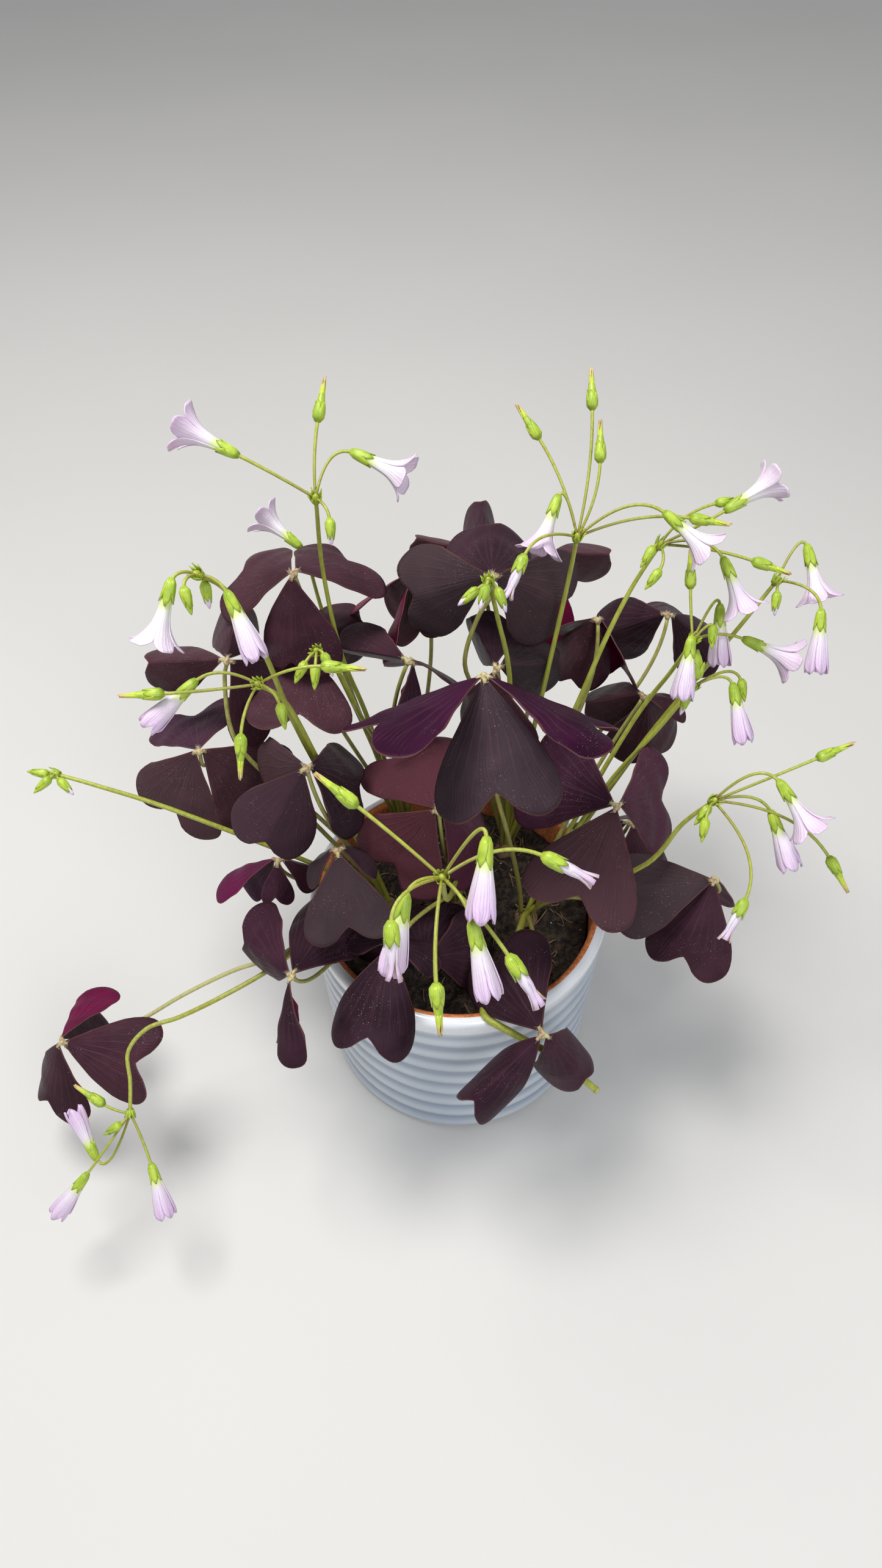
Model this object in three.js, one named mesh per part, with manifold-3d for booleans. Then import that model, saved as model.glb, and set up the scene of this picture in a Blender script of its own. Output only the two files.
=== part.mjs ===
// A purple shamrock in a ribbed glazed pot: dark three-part leaves on thin stalks and nodding lilac
// flowers in umbels, standing in potting soil. Millimetres, +Z up, the origin in the middle of the
// pot's flat foot. The viewer's side is -Y.
import * as THREE from 'three';
import { mergeVertices } from 'three/addons/utils/BufferGeometryUtils.js';
import Module from 'manifold-3d';

const wasm = await Module();
wasm.setup();

// Driving sizes of the pot.
const POT_HEIGHT = 107;
const RIM_RADIUS = 65;
const FOOT_RADIUS = 61.4;
const RIM_BAND = 11;
const RIB_COUNT = 8;
const RIB_DEPTH = 1.2;
const MOUTH_RADIUS = 58.7;
const MOUTH_HEIGHT = POT_HEIGHT - 2;
const WALL = 6;
const FLOOR = 9;
const POT_SEGMENTS = 24;

// Soil: its level, how rough it lies, and the gap to the pot that keeps the two apart.
const SOIL_LEVEL = 92;
const SOIL_RELIEF = 2.5;
const SOIL_SEGMENTS = 20;
const SEAT_GAP = 0.3;

// Leaves: thin blades round a knob, each with its root sunk in it, on a petiole.
const BLADE_THICKNESS = 0.7;
const KNOB_RADIUS = 4;
const ROOT_OUT = 1.8;
const KNOB_FOOT = 1.3;
const BLADE_ROOT = 1.1;
const PETIOLE_RADIUS = 1.3;
const PETIOLE_STEPS = 5;
const PETIOLE_BEND = 0.35;

// Flowers. A pedicel starts inside the umbel's head and sinks into its calyx.
const SCAPE_RADIUS = 1.4;
const PEDICEL_RADIUS = 0.75;
const PEDICEL_ROOT = 0.6;
const PEDICEL_SINK = 1.5;
const PEDICEL_BEND = 0.45;
const LONG_BEND = 6;
const UMBEL_HEAD = 2;
const STUB_RADIUS = 1.5;
const CALYX_LENGTH = 6;
const PETALS = 5;
const PETAL_CUT = 0.6;
const SPINDLE_SIDES = 4;

// Crowns, where the stalks of one clump leave the soil, each in a hole of its own.
const CROWN_RADIUS = 6;
const PIT_RADIUS = 6.7;
const CROWN_NECK = 4.2;
const CROWN_HIGH = SOIL_LEVEL + 7;
const CROWN_LOW = SOIL_LEVEL - 11;
const CROWN_SIDES = 6;
const FOOT_SPREAD = 2.2;
const FOOT_DEPTH = 5;
const PIT_CLEAR = 9;
const STALK_SIDES = 3;
const KNOB_APPROACH = 6;
const CROWNS = {
  left: [-31, 3],
  back_left: [-24, 40],
  back_right: [23, 34],
  right: [30, -4],
  centre: [0, 4],
};

const COLOURS = {
  glaze: 0xc3cad4,
  soil: 0x2a221c,
  blade: 0x3b2530,
  stalk: 0x8a9a3a,
  petal: 0xe6d8f0,
};

const degrees = THREE.MathUtils.degToRad;
const vector = (point) => new THREE.Vector3(...point);

function material(colour, roughness) {
  return new THREE.MeshStandardMaterial({ color: colour, roughness, metalness: 0 });
}

// Solids: a geometry with only merged positions, and the joins and cuts made from it.
function positionsOnly(geometry) {
  const plain = geometry.clone();
  for (const name of Object.keys(plain.attributes)) {
    if (name !== 'position') plain.deleteAttribute(name);
  }
  return mergeVertices(plain, 1e-4);
}

function solidOf(geometry) {
  const merged = positionsOnly(geometry);
  return new wasm.Manifold(new wasm.Mesh({
    numProp: 3,
    vertProperties: new Float32Array(merged.attributes.position.array),
    triVerts: new Uint32Array(merged.index.array),
  }));
}

function geometryOf(solid) {
  const mesh = solid.getMesh();
  const geometry = new THREE.BufferGeometry();
  geometry.setAttribute('position', new THREE.BufferAttribute(mesh.vertProperties, 3));
  geometry.setIndex(new THREE.BufferAttribute(mesh.triVerts, 1));
  geometry.computeVertexNormals();
  return geometry;
}

function fused(geometries) {
  return geometries.map(solidOf).reduce((sum, piece) => sum.add(piece));
}

// A closed skin over rings of points, each ring with the same count. Its first end is flat, and its
// last one is flat or runs to a point.
function skinOf(rings, apex) {
  const count = rings[0].length;
  const positions = rings.flat().concat(apex ?? []).flatMap((point) => point.toArray());
  const index = [];
  for (let ring = 0; ring + 1 < rings.length; ring += 1) {
    for (let k = 0; k < count; k += 1) {
      const next = (k + 1) % count;
      const a = ring * count + k;
      const b = ring * count + next;
      index.push(a, b, b + count, a, b + count, a + count);
    }
  }
  const last = (rings.length - 1) * count;
  for (let k = 1; k + 1 < count; k += 1) {
    index.push(0, k + 1, k);
    if (!apex) index.push(last, last + k, last + k + 1);
  }
  for (let k = 0; apex && k < count; k += 1) index.push(last + k, last + ((k + 1) % count), last + count);
  const geometry = new THREE.BufferGeometry();
  geometry.setAttribute('position', new THREE.Float32BufferAttribute(positions, 3));
  geometry.setIndex(index);
  return geometry;
}

// Pot: a lathed wall, smooth at the rim, with soft ribs round it below, and a flat foot.
function potProfile() {
  const wallRadius = (z) => THREE.MathUtils.lerp(FOOT_RADIUS, RIM_RADIUS, z / POT_HEIGHT);
  const ribbed = POT_HEIGHT - RIM_BAND;
  const pitch = ribbed / RIB_COUNT;
  const outer = [[0, 0], [FOOT_RADIUS - 5, 0]];
  for (let rib = 0; rib < RIB_COUNT; rib += 1) {
    const z = rib * pitch;
    outer.push([wallRadius(z + 0.5 * pitch), z + 0.5 * pitch]);
    outer.push([wallRadius(z + pitch) - RIB_DEPTH, z + pitch]);
  }
  const rim = [
    [RIM_RADIUS - 0.4, POT_HEIGHT - 0.75 * RIM_BAND],
    [RIM_RADIUS, POT_HEIGHT - 3.5],
    [RIM_RADIUS - 0.8, POT_HEIGHT - 1],
    [RIM_RADIUS - 2.6, POT_HEIGHT],
    [MOUTH_RADIUS + 1.6, POT_HEIGHT - 0.3],
    [MOUTH_RADIUS, MOUTH_HEIGHT],
  ];
  const inner = [[FOOT_RADIUS - WALL, FLOOR], [0, FLOOR]];
  return [...outer, ...rim, ...inner];
}

function lathed(profile, segments) {
  const points = profile.map(([radius, z]) => new THREE.Vector2(radius, z));
  const geometry = new THREE.LatheGeometry(points, segments);
  geometry.rotateX(Math.PI / 2);
  return geometry;
}

// Soil: fills the pot to its level and lies in low crumbs, the same each time it is made.
function soilHeight(x, y) {
  const waves = Math.sin(0.35 * x + 1) * Math.cos(0.28 * y) + 0.6 * Math.sin(0.8 * x - 0.6 * y);
  return SOIL_LEVEL + SOIL_RELIEF * 0.6 * waves;
}

function soilBody() {
  const innerRadius = (z) => (
    THREE.MathUtils.mapLinear(z, FLOOR, MOUTH_HEIGHT, FOOT_RADIUS - WALL, MOUTH_RADIUS) - SEAT_GAP
  );
  const ring = (radius, height) => Array.from({ length: SOIL_SEGMENTS }, (_, k) => {
    const angle = (2 * Math.PI * k) / SOIL_SEGMENTS;
    const x = radius * Math.cos(angle);
    const y = radius * Math.sin(angle);
    return new THREE.Vector3(x, y, height(x, y));
  });
  const flatOfWall = Math.cos(Math.PI / POT_SEGMENTS);
  const foot = innerRadius(FLOOR) * flatOfWall - SEAT_GAP;
  const edge = innerRadius(SOIL_LEVEL - SOIL_RELIEF) * flatOfWall - SEAT_GAP;
  const rings = [ring(foot, () => FLOOR + SEAT_GAP)];
  for (const share of [1, 0.7, 0.35]) rings.push(ring(edge * share, soilHeight));
  return solidOf(skinOf(rings));
}

// A crown's core, or the hole in the soil that it stands in.
function crownPost([x, y], lowRadius, highRadius, low, high) {
  const post = new THREE.CylinderGeometry(highRadius, lowRadius, high - low, CROWN_SIDES);
  post.rotateX(Math.PI / 2);
  post.translate(x, y, (low + high) / 2);
  return post;
}

// One leaflet: a thin heart-like blade, notched at its end and folded along its midrib.
// The outline is polar about the blade's root: degrees off the midrib, share of the length.
const OUTLINE = [[-37, 0.82], [-31, 1.18], [-17, 1.27], [0, 1], [17, 1.27], [31, 1.18], [37, 0.82]];

function axisOf(heading, dip) {
  return new THREE.Vector3(
    Math.cos(degrees(heading)) * Math.cos(degrees(dip)),
    Math.sin(degrees(heading)) * Math.cos(degrees(dip)),
    -Math.sin(degrees(dip)),
  );
}

function leafletFrame([heading, dip, roll]) {
  const along = axisOf(heading, dip);
  const level = new THREE.Vector3(-Math.sin(degrees(heading)), Math.cos(degrees(heading)), 0);
  const across = level.applyAxisAngle(along, degrees(roll));
  const up = new THREE.Vector3().crossVectors(along, across);
  return { along, across, up };
}

// The axis that a leaf's three leaflets stand round: the mean of the ways their tops face.
function leafAxis(leaf) {
  const axis = new THREE.Vector3();
  for (const [heading, dip] of leaf.leaflets) axis.add(leafletFrame([heading, dip, 0]).up);
  return axis.normalize();
}

// Each half of a blade is flat; the two meet along the midrib, where they are folded down.
function leafletBlade(leaf, [heading, dip, roll, foldAngle, share = 1]) {
  const { along, across, up } = leafletFrame([heading, dip, roll]);
  const fold = degrees(foldAngle);
  const outward = along.clone().projectOnPlane(leafAxis(leaf)).normalize();
  const root = vector(leaf.hub).addScaledVector(outward, ROOT_OUT).addScaledVector(along, -BLADE_ROOT);
  const place = (radius, angle, side) => {
    const b = radius * Math.sin(degrees(angle));
    const lean = Math.sign(angle) * Math.sin(fold);
    const tall = angle === 0 ? 1 : Math.cos(fold);
    return root.clone()
      .addScaledVector(along, radius * Math.cos(degrees(angle)))
      .addScaledVector(across, b * Math.cos(fold) + (lean * side * BLADE_THICKNESS) / 2)
      .addScaledVector(up, (tall * side * BLADE_THICKNESS) / 2 - Math.abs(b) * Math.sin(fold));
  };
  const edge = OUTLINE[OUTLINE.length - 1][0];
  const sheet = (side) => [
    ...[edge, 0, -edge].map((angle) => place(BLADE_ROOT, angle, side)),
    ...OUTLINE.map(([angle, reach]) => place(reach * share * leaf.length, angle, side)),
  ];
  const half = Math.floor(OUTLINE.length / 2);
  const faces = [[1, 2, 3 + half], [1, 3 + half, 0]];
  for (let k = 0; k < half; k += 1) {
    faces.push([2, 3 + k, 4 + k], [0, 3 + half + k, 4 + half + k]);
  }
  return plateOf(sheet(1), sheet(-1), faces);
}

// A plate: the same outline twice, the faces of one side, and the wall round the edge.
function plateOf(top, bottom, faces) {
  const count = top.length;
  const positions = [...top, ...bottom].flatMap((point) => point.toArray());
  const index = faces.flatMap(([a, b, c]) => [a, b, c, a + count, c + count, b + count]);
  for (let k = 0; k < count; k += 1) {
    const next = (k + 1) % count;
    index.push(next, k, k + count, next, k + count, next + count);
  }
  const geometry = new THREE.BufferGeometry();
  geometry.setAttribute('position', new THREE.Float32BufferAttribute(positions, 3));
  geometry.setIndex(index);
  return geometry;
}

// The knob has three sides, one for each blade to grow from.
function leafBody(leaf) {
  const axis = leafAxis(leaf);
  const outward = axisOf(leaf.leaflets[0][0], leaf.leaflets[0][1]).projectOnPlane(axis).normalize();
  const sideways = new THREE.Vector3().crossVectors(axis, outward);
  const knob = new THREE.CylinderGeometry(KNOB_RADIUS, KNOB_RADIUS, 2 * KNOB_FOOT, 3);
  knob.rotateX(Math.PI / 2);
  knob.rotateZ(Math.PI / 2);
  knob.applyMatrix4(new THREE.Matrix4().makeBasis(outward, sideways, axis));
  knob.translate(...leaf.hub);
  return fused([knob, ...leaf.leaflets.map((pose) => leafletBlade(leaf, pose))]);
}

// Stalks: a three-sided section drawn along a curve.
function stalk(curve, radius, steps) {
  const section = new THREE.Shape();
  for (let k = 0; k < STALK_SIDES; k += 1) {
    const angle = (2 * Math.PI * k) / STALK_SIDES;
    const point = [radius * Math.cos(angle), radius * Math.sin(angle)];
    if (k === 0) section.moveTo(...point);
    else section.lineTo(...point);
  }
  section.closePath();
  return new THREE.ExtrudeGeometry(section, { steps, extrudePath: curve, bevelEnabled: false });
}

function upright(foot, height) {
  return new THREE.Vector3(foot.x, foot.y, foot.z + height);
}

// A petiole leaves its crown upright, leans out, and ends just under the leaf's knob.
function petioleCurve(leaf) {
  const [crownX, crownY] = CROWNS[leaf.crown];
  const hub = vector(leaf.hub);
  const toLeaf = new THREE.Vector2(hub.x - crownX, hub.y - crownY).normalize();
  const foot = new THREE.Vector3(
    crownX + FOOT_SPREAD * toLeaf.x,
    crownY + FOOT_SPREAD * toLeaf.y,
    SOIL_LEVEL - FOOT_DEPTH,
  );
  const axis = leafAxis(leaf);
  const end = hub.clone().addScaledVector(axis, -(KNOB_FOOT + SEAT_GAP));
  if (leaf.path) {
    const arrival = end.clone().addScaledVector(axis, -KNOB_APPROACH);
    const points = [foot, upright(foot, PIT_CLEAR), ...leaf.path.map(vector), arrival, end];
    return new THREE.CatmullRomCurve3(points);
  }
  const bend = PETIOLE_BEND * foot.distanceTo(end);
  const under = end.clone().addScaledVector(axis, -bend);
  return new THREE.CubicBezierCurve3(foot, upright(foot, bend), under, end);
}

function stubBody(stub) {
  const [x, y] = CROWNS[stub.crown];
  const foot = new THREE.Vector3(x, y, SOIL_LEVEL - FOOT_DEPTH);
  const points = [foot, upright(foot, PIT_CLEAR), ...stub.path.map(vector)];
  return stalk(new THREE.CatmullRomCurve3(points), STUB_RADIUS, points.length + 1);
}

// Flower parts stand along their own axis, so each is made upright and then turned into place.
function placed(geometry, base, axis) {
  const turn = new THREE.Quaternion().setFromUnitVectors(new THREE.Vector3(0, 0, 1), axis);
  geometry.applyQuaternion(turn);
  geometry.translate(base.x, base.y, base.z);
  return geometry;
}

function spindle(profile) {
  const ring = ([radius, z]) => Array.from({ length: SPINDLE_SIDES }, (_, k) => {
    const angle = (2 * Math.PI * k) / SPINDLE_SIDES;
    return new THREE.Vector3(radius * Math.cos(angle), radius * Math.sin(angle), z);
  });
  return skinOf(profile.map(ring));
}

// A corolla: a funnel of joined petals, their tips apart and turned out, hollow to its throat.
function corolla({ rings, throat }) {
  const columns = 2 * PETALS;
  const ring = ([radius, z, notch]) => Array.from({ length: columns }, (_, k) => {
    const between = k % 2;
    const angle = (Math.PI * k) / PETALS;
    const r = radius - between * notch * PETAL_CUT;
    return new THREE.Vector3(r * Math.cos(angle), r * Math.sin(angle), z - between * notch);
  });
  return skinOf(rings.map(ring), new THREE.Vector3(0, 0, throat));
}

// Rings of the green bodies as radius and height, and of the corollas with the cut between petals.
const BODIES = {
  calyx: [[1.3, 0], [2.2, CALYX_LENGTH]],
  bud: [[1.3, 0], [2, 3.5], [0.6, 8]],
  fruit: [[1.3, 0], [2, 4], [0.5, 15]],
  fat: [[1.3, 0], [2.9, 4], [0.8, 11]],
  withered: [[1.3, 0], [1.9, 5], [1.3, 10], [2.3, 17]],
};

const COROLLAS = {
  open: {
    rings: [[1.4, 0, 0], [3.2, 8, 0], [6.6, 13, 0.4], [9.2, 15.6, 2.2], [8.6, 16.4, 2.2]],
    throat: 8.5,
  },
  half: { rings: [[1.4, 0, 0], [3.5, 9, 0], [3.9, 17, 2.4], [3.1, 17, 2.2]], throat: 11 },
};

function flowerPlaces(umbel) {
  return umbel.flowers.map(([kind, offset, heading, dip]) => {
    const base = vector(umbel.hub).add(vector(offset));
    return { kind, base, axis: axisOf(heading, dip) };
  });
}

// A pedicel leaves the scape's end, bows, and runs a little way into its calyx.
function pedicel(hub, { base, axis }) {
  const bend = PEDICEL_BEND * hub.distanceTo(base);
  const bow = base.clone().addScaledVector(axis, -bend);
  const end = base.clone().addScaledVector(axis, PEDICEL_SINK);
  const start = hub.clone().lerp(bow, PEDICEL_ROOT / hub.distanceTo(bow));
  return stalk(new THREE.QuadraticBezierCurve3(start, bow, end), PEDICEL_RADIUS, bend > LONG_BEND ? 3 : 2);
}

function umbelGreens(umbel) {
  const hub = vector(umbel.hub);
  const [x, y] = CROWNS[umbel.crown];
  const foot = new THREE.Vector3(x, y, SOIL_LEVEL - FOOT_DEPTH);
  const points = [foot, upright(foot, PIT_CLEAR), ...umbel.path.map(vector).reverse(), hub];
  const scape = stalk(new THREE.CatmullRomCurve3(points), SCAPE_RADIUS, points.length + 2);
  const head = new THREE.OctahedronGeometry(UMBEL_HEAD, 0);
  head.translate(...umbel.hub);
  const flowers = flowerPlaces(umbel).flatMap((flower) => {
    const body = BODIES[flower.kind in COROLLAS ? 'calyx' : flower.kind];
    return [pedicel(hub, flower), placed(spindle(body), flower.base, flower.axis)];
  });
  return [scape, head, ...flowers];
}

// Leaves: the place of the knob, the leaflets' length, and each leaflet's heading, dip, roll and fold
// in degrees, with its share of the length where it is smaller. Some petioles run through a path.
const LEAVES = [
  { name: 'leaf_centre', crown: 'right', hub: [8, -5, 241], length: 40,
    leaflets: [[275, 30, 10, 15], [210, 0, 30, 5], [338, 10, -35, 5]] },
  { name: 'leaf_centre_behind', crown: 'back_right', hub: [15, 34, 207], length: 36,
    leaflets: [[35, 25, 50, 45], [105, 5, -35, 55], [235, 80, 0, 20]] },
  { name: 'leaf_top', crown: 'back_right', hub: [13, 45, 243], length: 37,
    path: [[14, 44, 130], [15, 48, 163], [3, 42, 202], [8, 43, 226]],
    leaflets: [[160, 30, -60, 25], [20, 40, 70, 15], [90, 5, 0, 30]] },
  { name: 'leaf_back_top', crown: 'back_right', hub: [11, 78, 228], length: 33,
    path: [[22, 60, 140], [15, 80, 190]],
    leaflets: [[145, 10, -35, 60], [90, -5, 0, 60], [35, 30, 50, 55]] },
  { name: 'leaf_back_right', crown: 'back_right', hub: [41, 110, 203], length: 34,
    leaflets: [[25, 20, 45, 55], [135, 20, -25, 60], [255, 55, 0, 30]] },
  { name: 'leaf_right_high', crown: 'back_right', hub: [57, 62, 207], length: 33,
    leaflets: [[205, 75, -40, 40], [100, 50, 30, 20], [15, 65, -30, 20]] },
  { name: 'leaf_right_far', crown: 'back_right', hub: [91, 84, 190], length: 36,
    leaflets: [[150, 40, -60, 40], [0, 40, 45, 45], [80, 30, 5, 20]] },
  { name: 'leaf_right_middle', crown: 'right', hub: [76, 41, 184], length: 35,
    leaflets: [[140, 40, -50, 50], [340, 80, 60, 30], [20, 25, 0, 20, 0.5]] },
  { name: 'leaf_right_low', crown: 'right', hub: [59, -14, 181], length: 37,
    leaflets: [[137, 15, -35, 0], [243, 20, -10, 0], [40, 35, 50, 0]] },
  { name: 'leaf_right_out', crown: 'right', hub: [106, -12, 130], length: 35,
    path: [[44, -7, 111], [64, -9, 112], [92, -11, 120]],
    leaflets: [[180, 8, -10, 10], [100, 60, 0, 25], [240, 45, 0, 20]] },
  { name: 'leaf_right_hanging', crown: 'right', hub: [76, 25, 122], length: 36,
    path: [[44, 4, 112], [62, 12, 112]],
    leaflets: [[300, 65, 0, 10], [60, 40, 0, 20, 0.6], [180, 20, 0, 20, 0.6]] },
  { name: 'leaf_left_front', crown: 'centre', hub: [-8, -8, 172], length: 37,
    leaflets: [[110, 10, -10, 0], [190, 60, -45, 0], [25, 60, 40, 10]] },
  { name: 'leaf_left_middle', crown: 'left', hub: [-56, -9, 199], length: 36,
    leaflets: [[215, 55, -45, 30], [38, 52, 40, 15], [122, 20, 0, 60]] },
  { name: 'leaf_left_wide', crown: 'left', hub: [-104, 22, 175], length: 37,
    path: [[-45, 12, 120], [-74, 30, 142], [-97, 38, 158]],
    leaflets: [[5, 55, 50, 0], [195, 65, -48, 0], [105, 20, -10, 0]] },
  { name: 'leaf_left_below', crown: 'left', hub: [-47, -21, 165], length: 29,
    leaflets: [[280, 35, 5, 0], [30, 45, 0, 20, 0.6], [165, 50, 0, 20, 0.6]] },
  { name: 'leaf_front_left', crown: 'left', hub: [-65, -57, 133], length: 35,
    leaflets: [[66, 5, 5, 20], [135, 22, -60, 20], [240, 55, 50, 20, 0.8]] },
  { name: 'leaf_front_hanging', crown: 'centre', hub: [-27, -47, 139], length: 36,
    path: [[1, -4, 112], [-6, -18, 128], [-20, -34, 133]],
    leaflets: [[252, 35, -5, 10], [10, 30, 0, 20, 0.5], [135, 25, 0, 20, 0.5]] },
  { name: 'leaf_front_middle', crown: 'centre', hub: [-14, -43, 122], length: 30,
    path: [[-9, -28, 109]],
    leaflets: [[30, 30, 45, 0], [155, 18, -40, 40], [85, 15, -10, 10]] },
  { name: 'leaf_front_right', crown: 'right', hub: [30, -79, 126], length: 37,
    path: [[31, -20, 106], [31, -45, 112], [30, -62, 114], [30, -74, 121]],
    leaflets: [[115, 5, -30, 10], [212, 35, -15, 40], [350, 60, 40, 30]] },
  { name: 'leaf_left_top', crown: 'back_left', hub: [-61, 52, 240], length: 36,
    leaflets: [[137, 25, -20, 15], [57, 25, 10, 5], [255, 70, 0, 30]] },
  { name: 'leaf_left_back', crown: 'left', hub: [-89, 37, 210], length: 36,
    path: [[-70, 17, 152], [-89, 24, 180]],
    leaflets: [[90, 0, 10, 55], [165, 15, -40, 55], [15, 66, 50, 15]] },
  { name: 'leaf_left_centre', crown: 'back_left', hub: [-62, 61, 196], length: 35,
    leaflets: [[270, 5, -5, 0], [50, 15, 40, 40], [150, 25, -10, 20, 0.6]] },
  { name: 'leaf_back_middle', crown: 'back_left', hub: [-19, 38, 208], length: 33,
    leaflets: [[70, 45, 5, 10], [150, 15, -65, 60], [320, 75, -30, 40]] },
  { name: 'leaf_back_left', crown: 'back_left', hub: [-16, 85, 214], length: 32,
    leaflets: [[130, 45, 40, 40], [205, 65, 50, 20], [330, 50, 0, 30, 0.7]] },
  { name: 'leaf_left_low', crown: 'left', hub: [-75, -3, 135], length: 30,
    leaflets: [[150, 40, 45, 50], [20, 45, 0, 30, 0.6], [265, 40, 0, 30, 0.5]] },
  { name: 'leaf_fallen', crown: 'left', hub: [-170, -53, 75], length: 34,
    path: [
      [-47, -12, 108], [-61, -23, 111], [-76, -29, 103], [-95, -32, 97], [-117, -38, 88], [-140, -45, 76],
    ],
    leaflets: [[342, 0, 35, 0], [100, 30, -60, 50], [230, 60, 0, 10]] },
];

// Umbels: where the scape runs, where it ends, and what hangs there. Each flower has its kind, the
// place of its calyx from the scape's end, and the heading and dip it points at.
const UMBELS = [
  {
    name: 'top_left', crown: 'back_left', hub: [-48, 39, 282],
    path: [[-50, 52, 240], [-46, 50, 200], [-38, 50, 165]],
    flowers: [
      ['open', [-25, 6, 13], 159, -17], ['open', [12, 15, 8], 340, 16],
      ['fruit', [1, 20, 17], 77, -40], ['bud', [5, -8, -3], 272, 55],
    ],
  },
  {
    name: 'back_left', crown: 'back_left', hub: [-62, 96, 215],
    path: [[-57, 96, 177]],
    flowers: [['open', [-2, 1, 3], 148, -25]],
  },
  {
    name: 'left_high', crown: 'left', hub: [-82, -2, 283],
    path: [[-76, 4, 272], [-68, 6, 245], [-62, 10, 205]],
    flowers: [
      ['open', [-7, -5, 2], 243, 50], ['half', [9, -4, -4], 303, 45],
      ['bud', [-3, -8, 1], 292, 55], ['bud', [1, 2, -5], 283, 60],
    ],
  },
  {
    name: 'left_low', crown: 'left', hub: [-68, -9, 242],
    path: [[-62, 0, 225], [-54, 4, 190]],
    flowers: [
      ['half', [-21, 1, 1], 211, 30], ['fruit', [-31, -5, 1], 182, 1],
      ['fruit', [22, 2, 6], 356, 3], ['fruit', [-5, -17, -7], 265, 50],
      ['bud', [8, -9, -1], 286, 50],
    ],
  },
  {
    name: 'left_inner', crown: 'back_left', hub: [-51, 18, 232],
    path: [[-46, 27, 215], [-40, 34, 185], [-32, 42, 150]],
    flowers: [
      ['bud', [-4, -5, -1], 228, 45], ['bud', [0, -8, 0], 264, 50],
      ['bud', [3, -4, 2], 300, 45],
    ],
  },
  {
    name: 'middle', crown: 'back_right', hub: [10, 19, 262],
    path: [[14, 26, 240], [20, 32, 205]],
    flowers: [
      ['bud', [-4, -2, -2], 206, 30], ['bud', [-1, -5, 2], 247, 45],
      ['bud', [3, -2, -2], 300, 45],
    ],
  },
  {
    name: 'top_right', crown: 'back_right', hub: [43, 48, 258],
    path: [[42, 52, 235], [36, 46, 190]],
    flowers: [
      ['open', [-7, 8, 12], 242, 45], ['open', [30, 0, 10], 328, 28],
      ['fruit', [-13, 31, 21], 130, -33], ['fruit', [6, 35, 30], 91, -41],
      ['fruit', [8, 17, 20], 89, -41], ['withered', [-20, -14, 3], 239, 40],
      ['fruit', [41, 5, 4], 352, 7],
    ],
  },
  {
    name: 'right_high', crown: 'back_right', hub: [74, 51, 252],
    path: [[66, 48, 236], [58, 42, 218], [47, 36, 180]],
    flowers: [
      ['open', [24, 9, 8], 24, -19], ['open', [22, -7, -1], 305, 45],
      ['fruit', [34, -5, -4], 344, 13], ['bud', [22, 15, 7], 7, -6],
      ['bud', [-3, -3, 1], 225, 40], ['bud', [-1, -10, -4], 218, 40],
    ],
  },
  {
    name: 'right_inner', crown: 'right', hub: [87, 29, 225],
    path: [[83, 34, 205], [72, 36, 175]],
    flowers: [
      ['half', [12, 15, 4], 273, 55], ['half', [-2, -4, 5], 260, 55],
      ['bud', [7, 2, 5], 266, 50], ['fruit', [0, 17, 11], 89, -41],
      ['open', [21, 6, -5], 346, 20],
    ],
  },
  {
    name: 'right_outer', crown: 'right', hub: [119, 47, 238],
    path: [[108, 40, 224], [96, 38, 200], [76, 32, 164]],
    flowers: [
      ['open', [11, 9, 9], 291, 45], ['half', [13, -16, -1], 269, 55],
      ['bud', [-1, -6, -1], 266, 55],
    ],
  },
  {
    name: 'right_middle', crown: 'right', hub: [89, 22, 208],
    path: [[80, 24, 184], [62, 22, 150]],
    flowers: [
      ['half', [15, 1, 0], 290, 50], ['bud', [19, 4, -1], 288, 50],
      ['bud', [-3, -5, 1], 241, 45], ['fat', [0, 0, 4], 87, -50],
    ],
  },
  {
    name: 'right_low', crown: 'right', hub: [92, -21, 192],
    path: [[84, -18, 175], [74, -18, 150]],
    flowers: [
      ['open', [20, -3, 14], 312, 35], ['half', [21, -3, -3], 302, 45],
      ['fruit', [39, 13, 8], 17, -14], ['fruit', [42, -16, -14], 309, 40],
      ['withered', [9, -32, -17], 233, 40], ['bud', [-2, -3, 0], 219, 35],
      ['bud', [-4, -8, -1], 257, 50],
    ],
  },
  {
    name: 'front', crown: 'centre', hub: [-7, -94, 248],
    path: [[-6, -78, 215], [-4, -46, 170], [-1, -8, 125]],
    flowers: [
      ['fruit', [-24, 16, 13], 149, -24], ['withered', [29, 8, -1], 340, 20],
      ['half', [12, -1, 19], 263, 50], ['half', [8, -14, -1], 289, 50],
      ['half', [-10, -7, 2], 251, 50], ['withered', [-14, -16, 2], 273, 50],
      ['fruit', [-2, -29, -9], 276, 50], ['withered', [18, -21, -8], 313, 40],
    ],
  },
  {
    name: 'hanging', crown: 'left', hub: [-136, -84, 72],
    path: [
      [-136, -74, 80], [-137, -64, 87], [-130, -56, 91], [-117, -52, 93], [-100, -46, 98],
      [-77, -33, 102], [-61, -24, 111], [-46, -15, 109],
    ],
    flowers: [
      ['half', [-17, -20, -13], 218, 40], ['half', [9, -17, -11], 290, 45],
      ['half', [-15, -13, -15], 121, -36], ['fruit', [-11, 3, 2], 153, -22],
      ['bud', [-3, -5, 1], 204, 25],
    ],
  },
  {
    name: 'left_edge', crown: 'left', hub: [-159, 11, 175],
    path: [[-144, 7, 173], [-114, 4, 160]],
    flowers: [
      ['bud', [-3, 0, 0], 174, -5], ['bud', [2, -3, 0], 320, 25], ['bud', [-1, -4, 2], 216, 25],
    ],
  },
];

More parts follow.
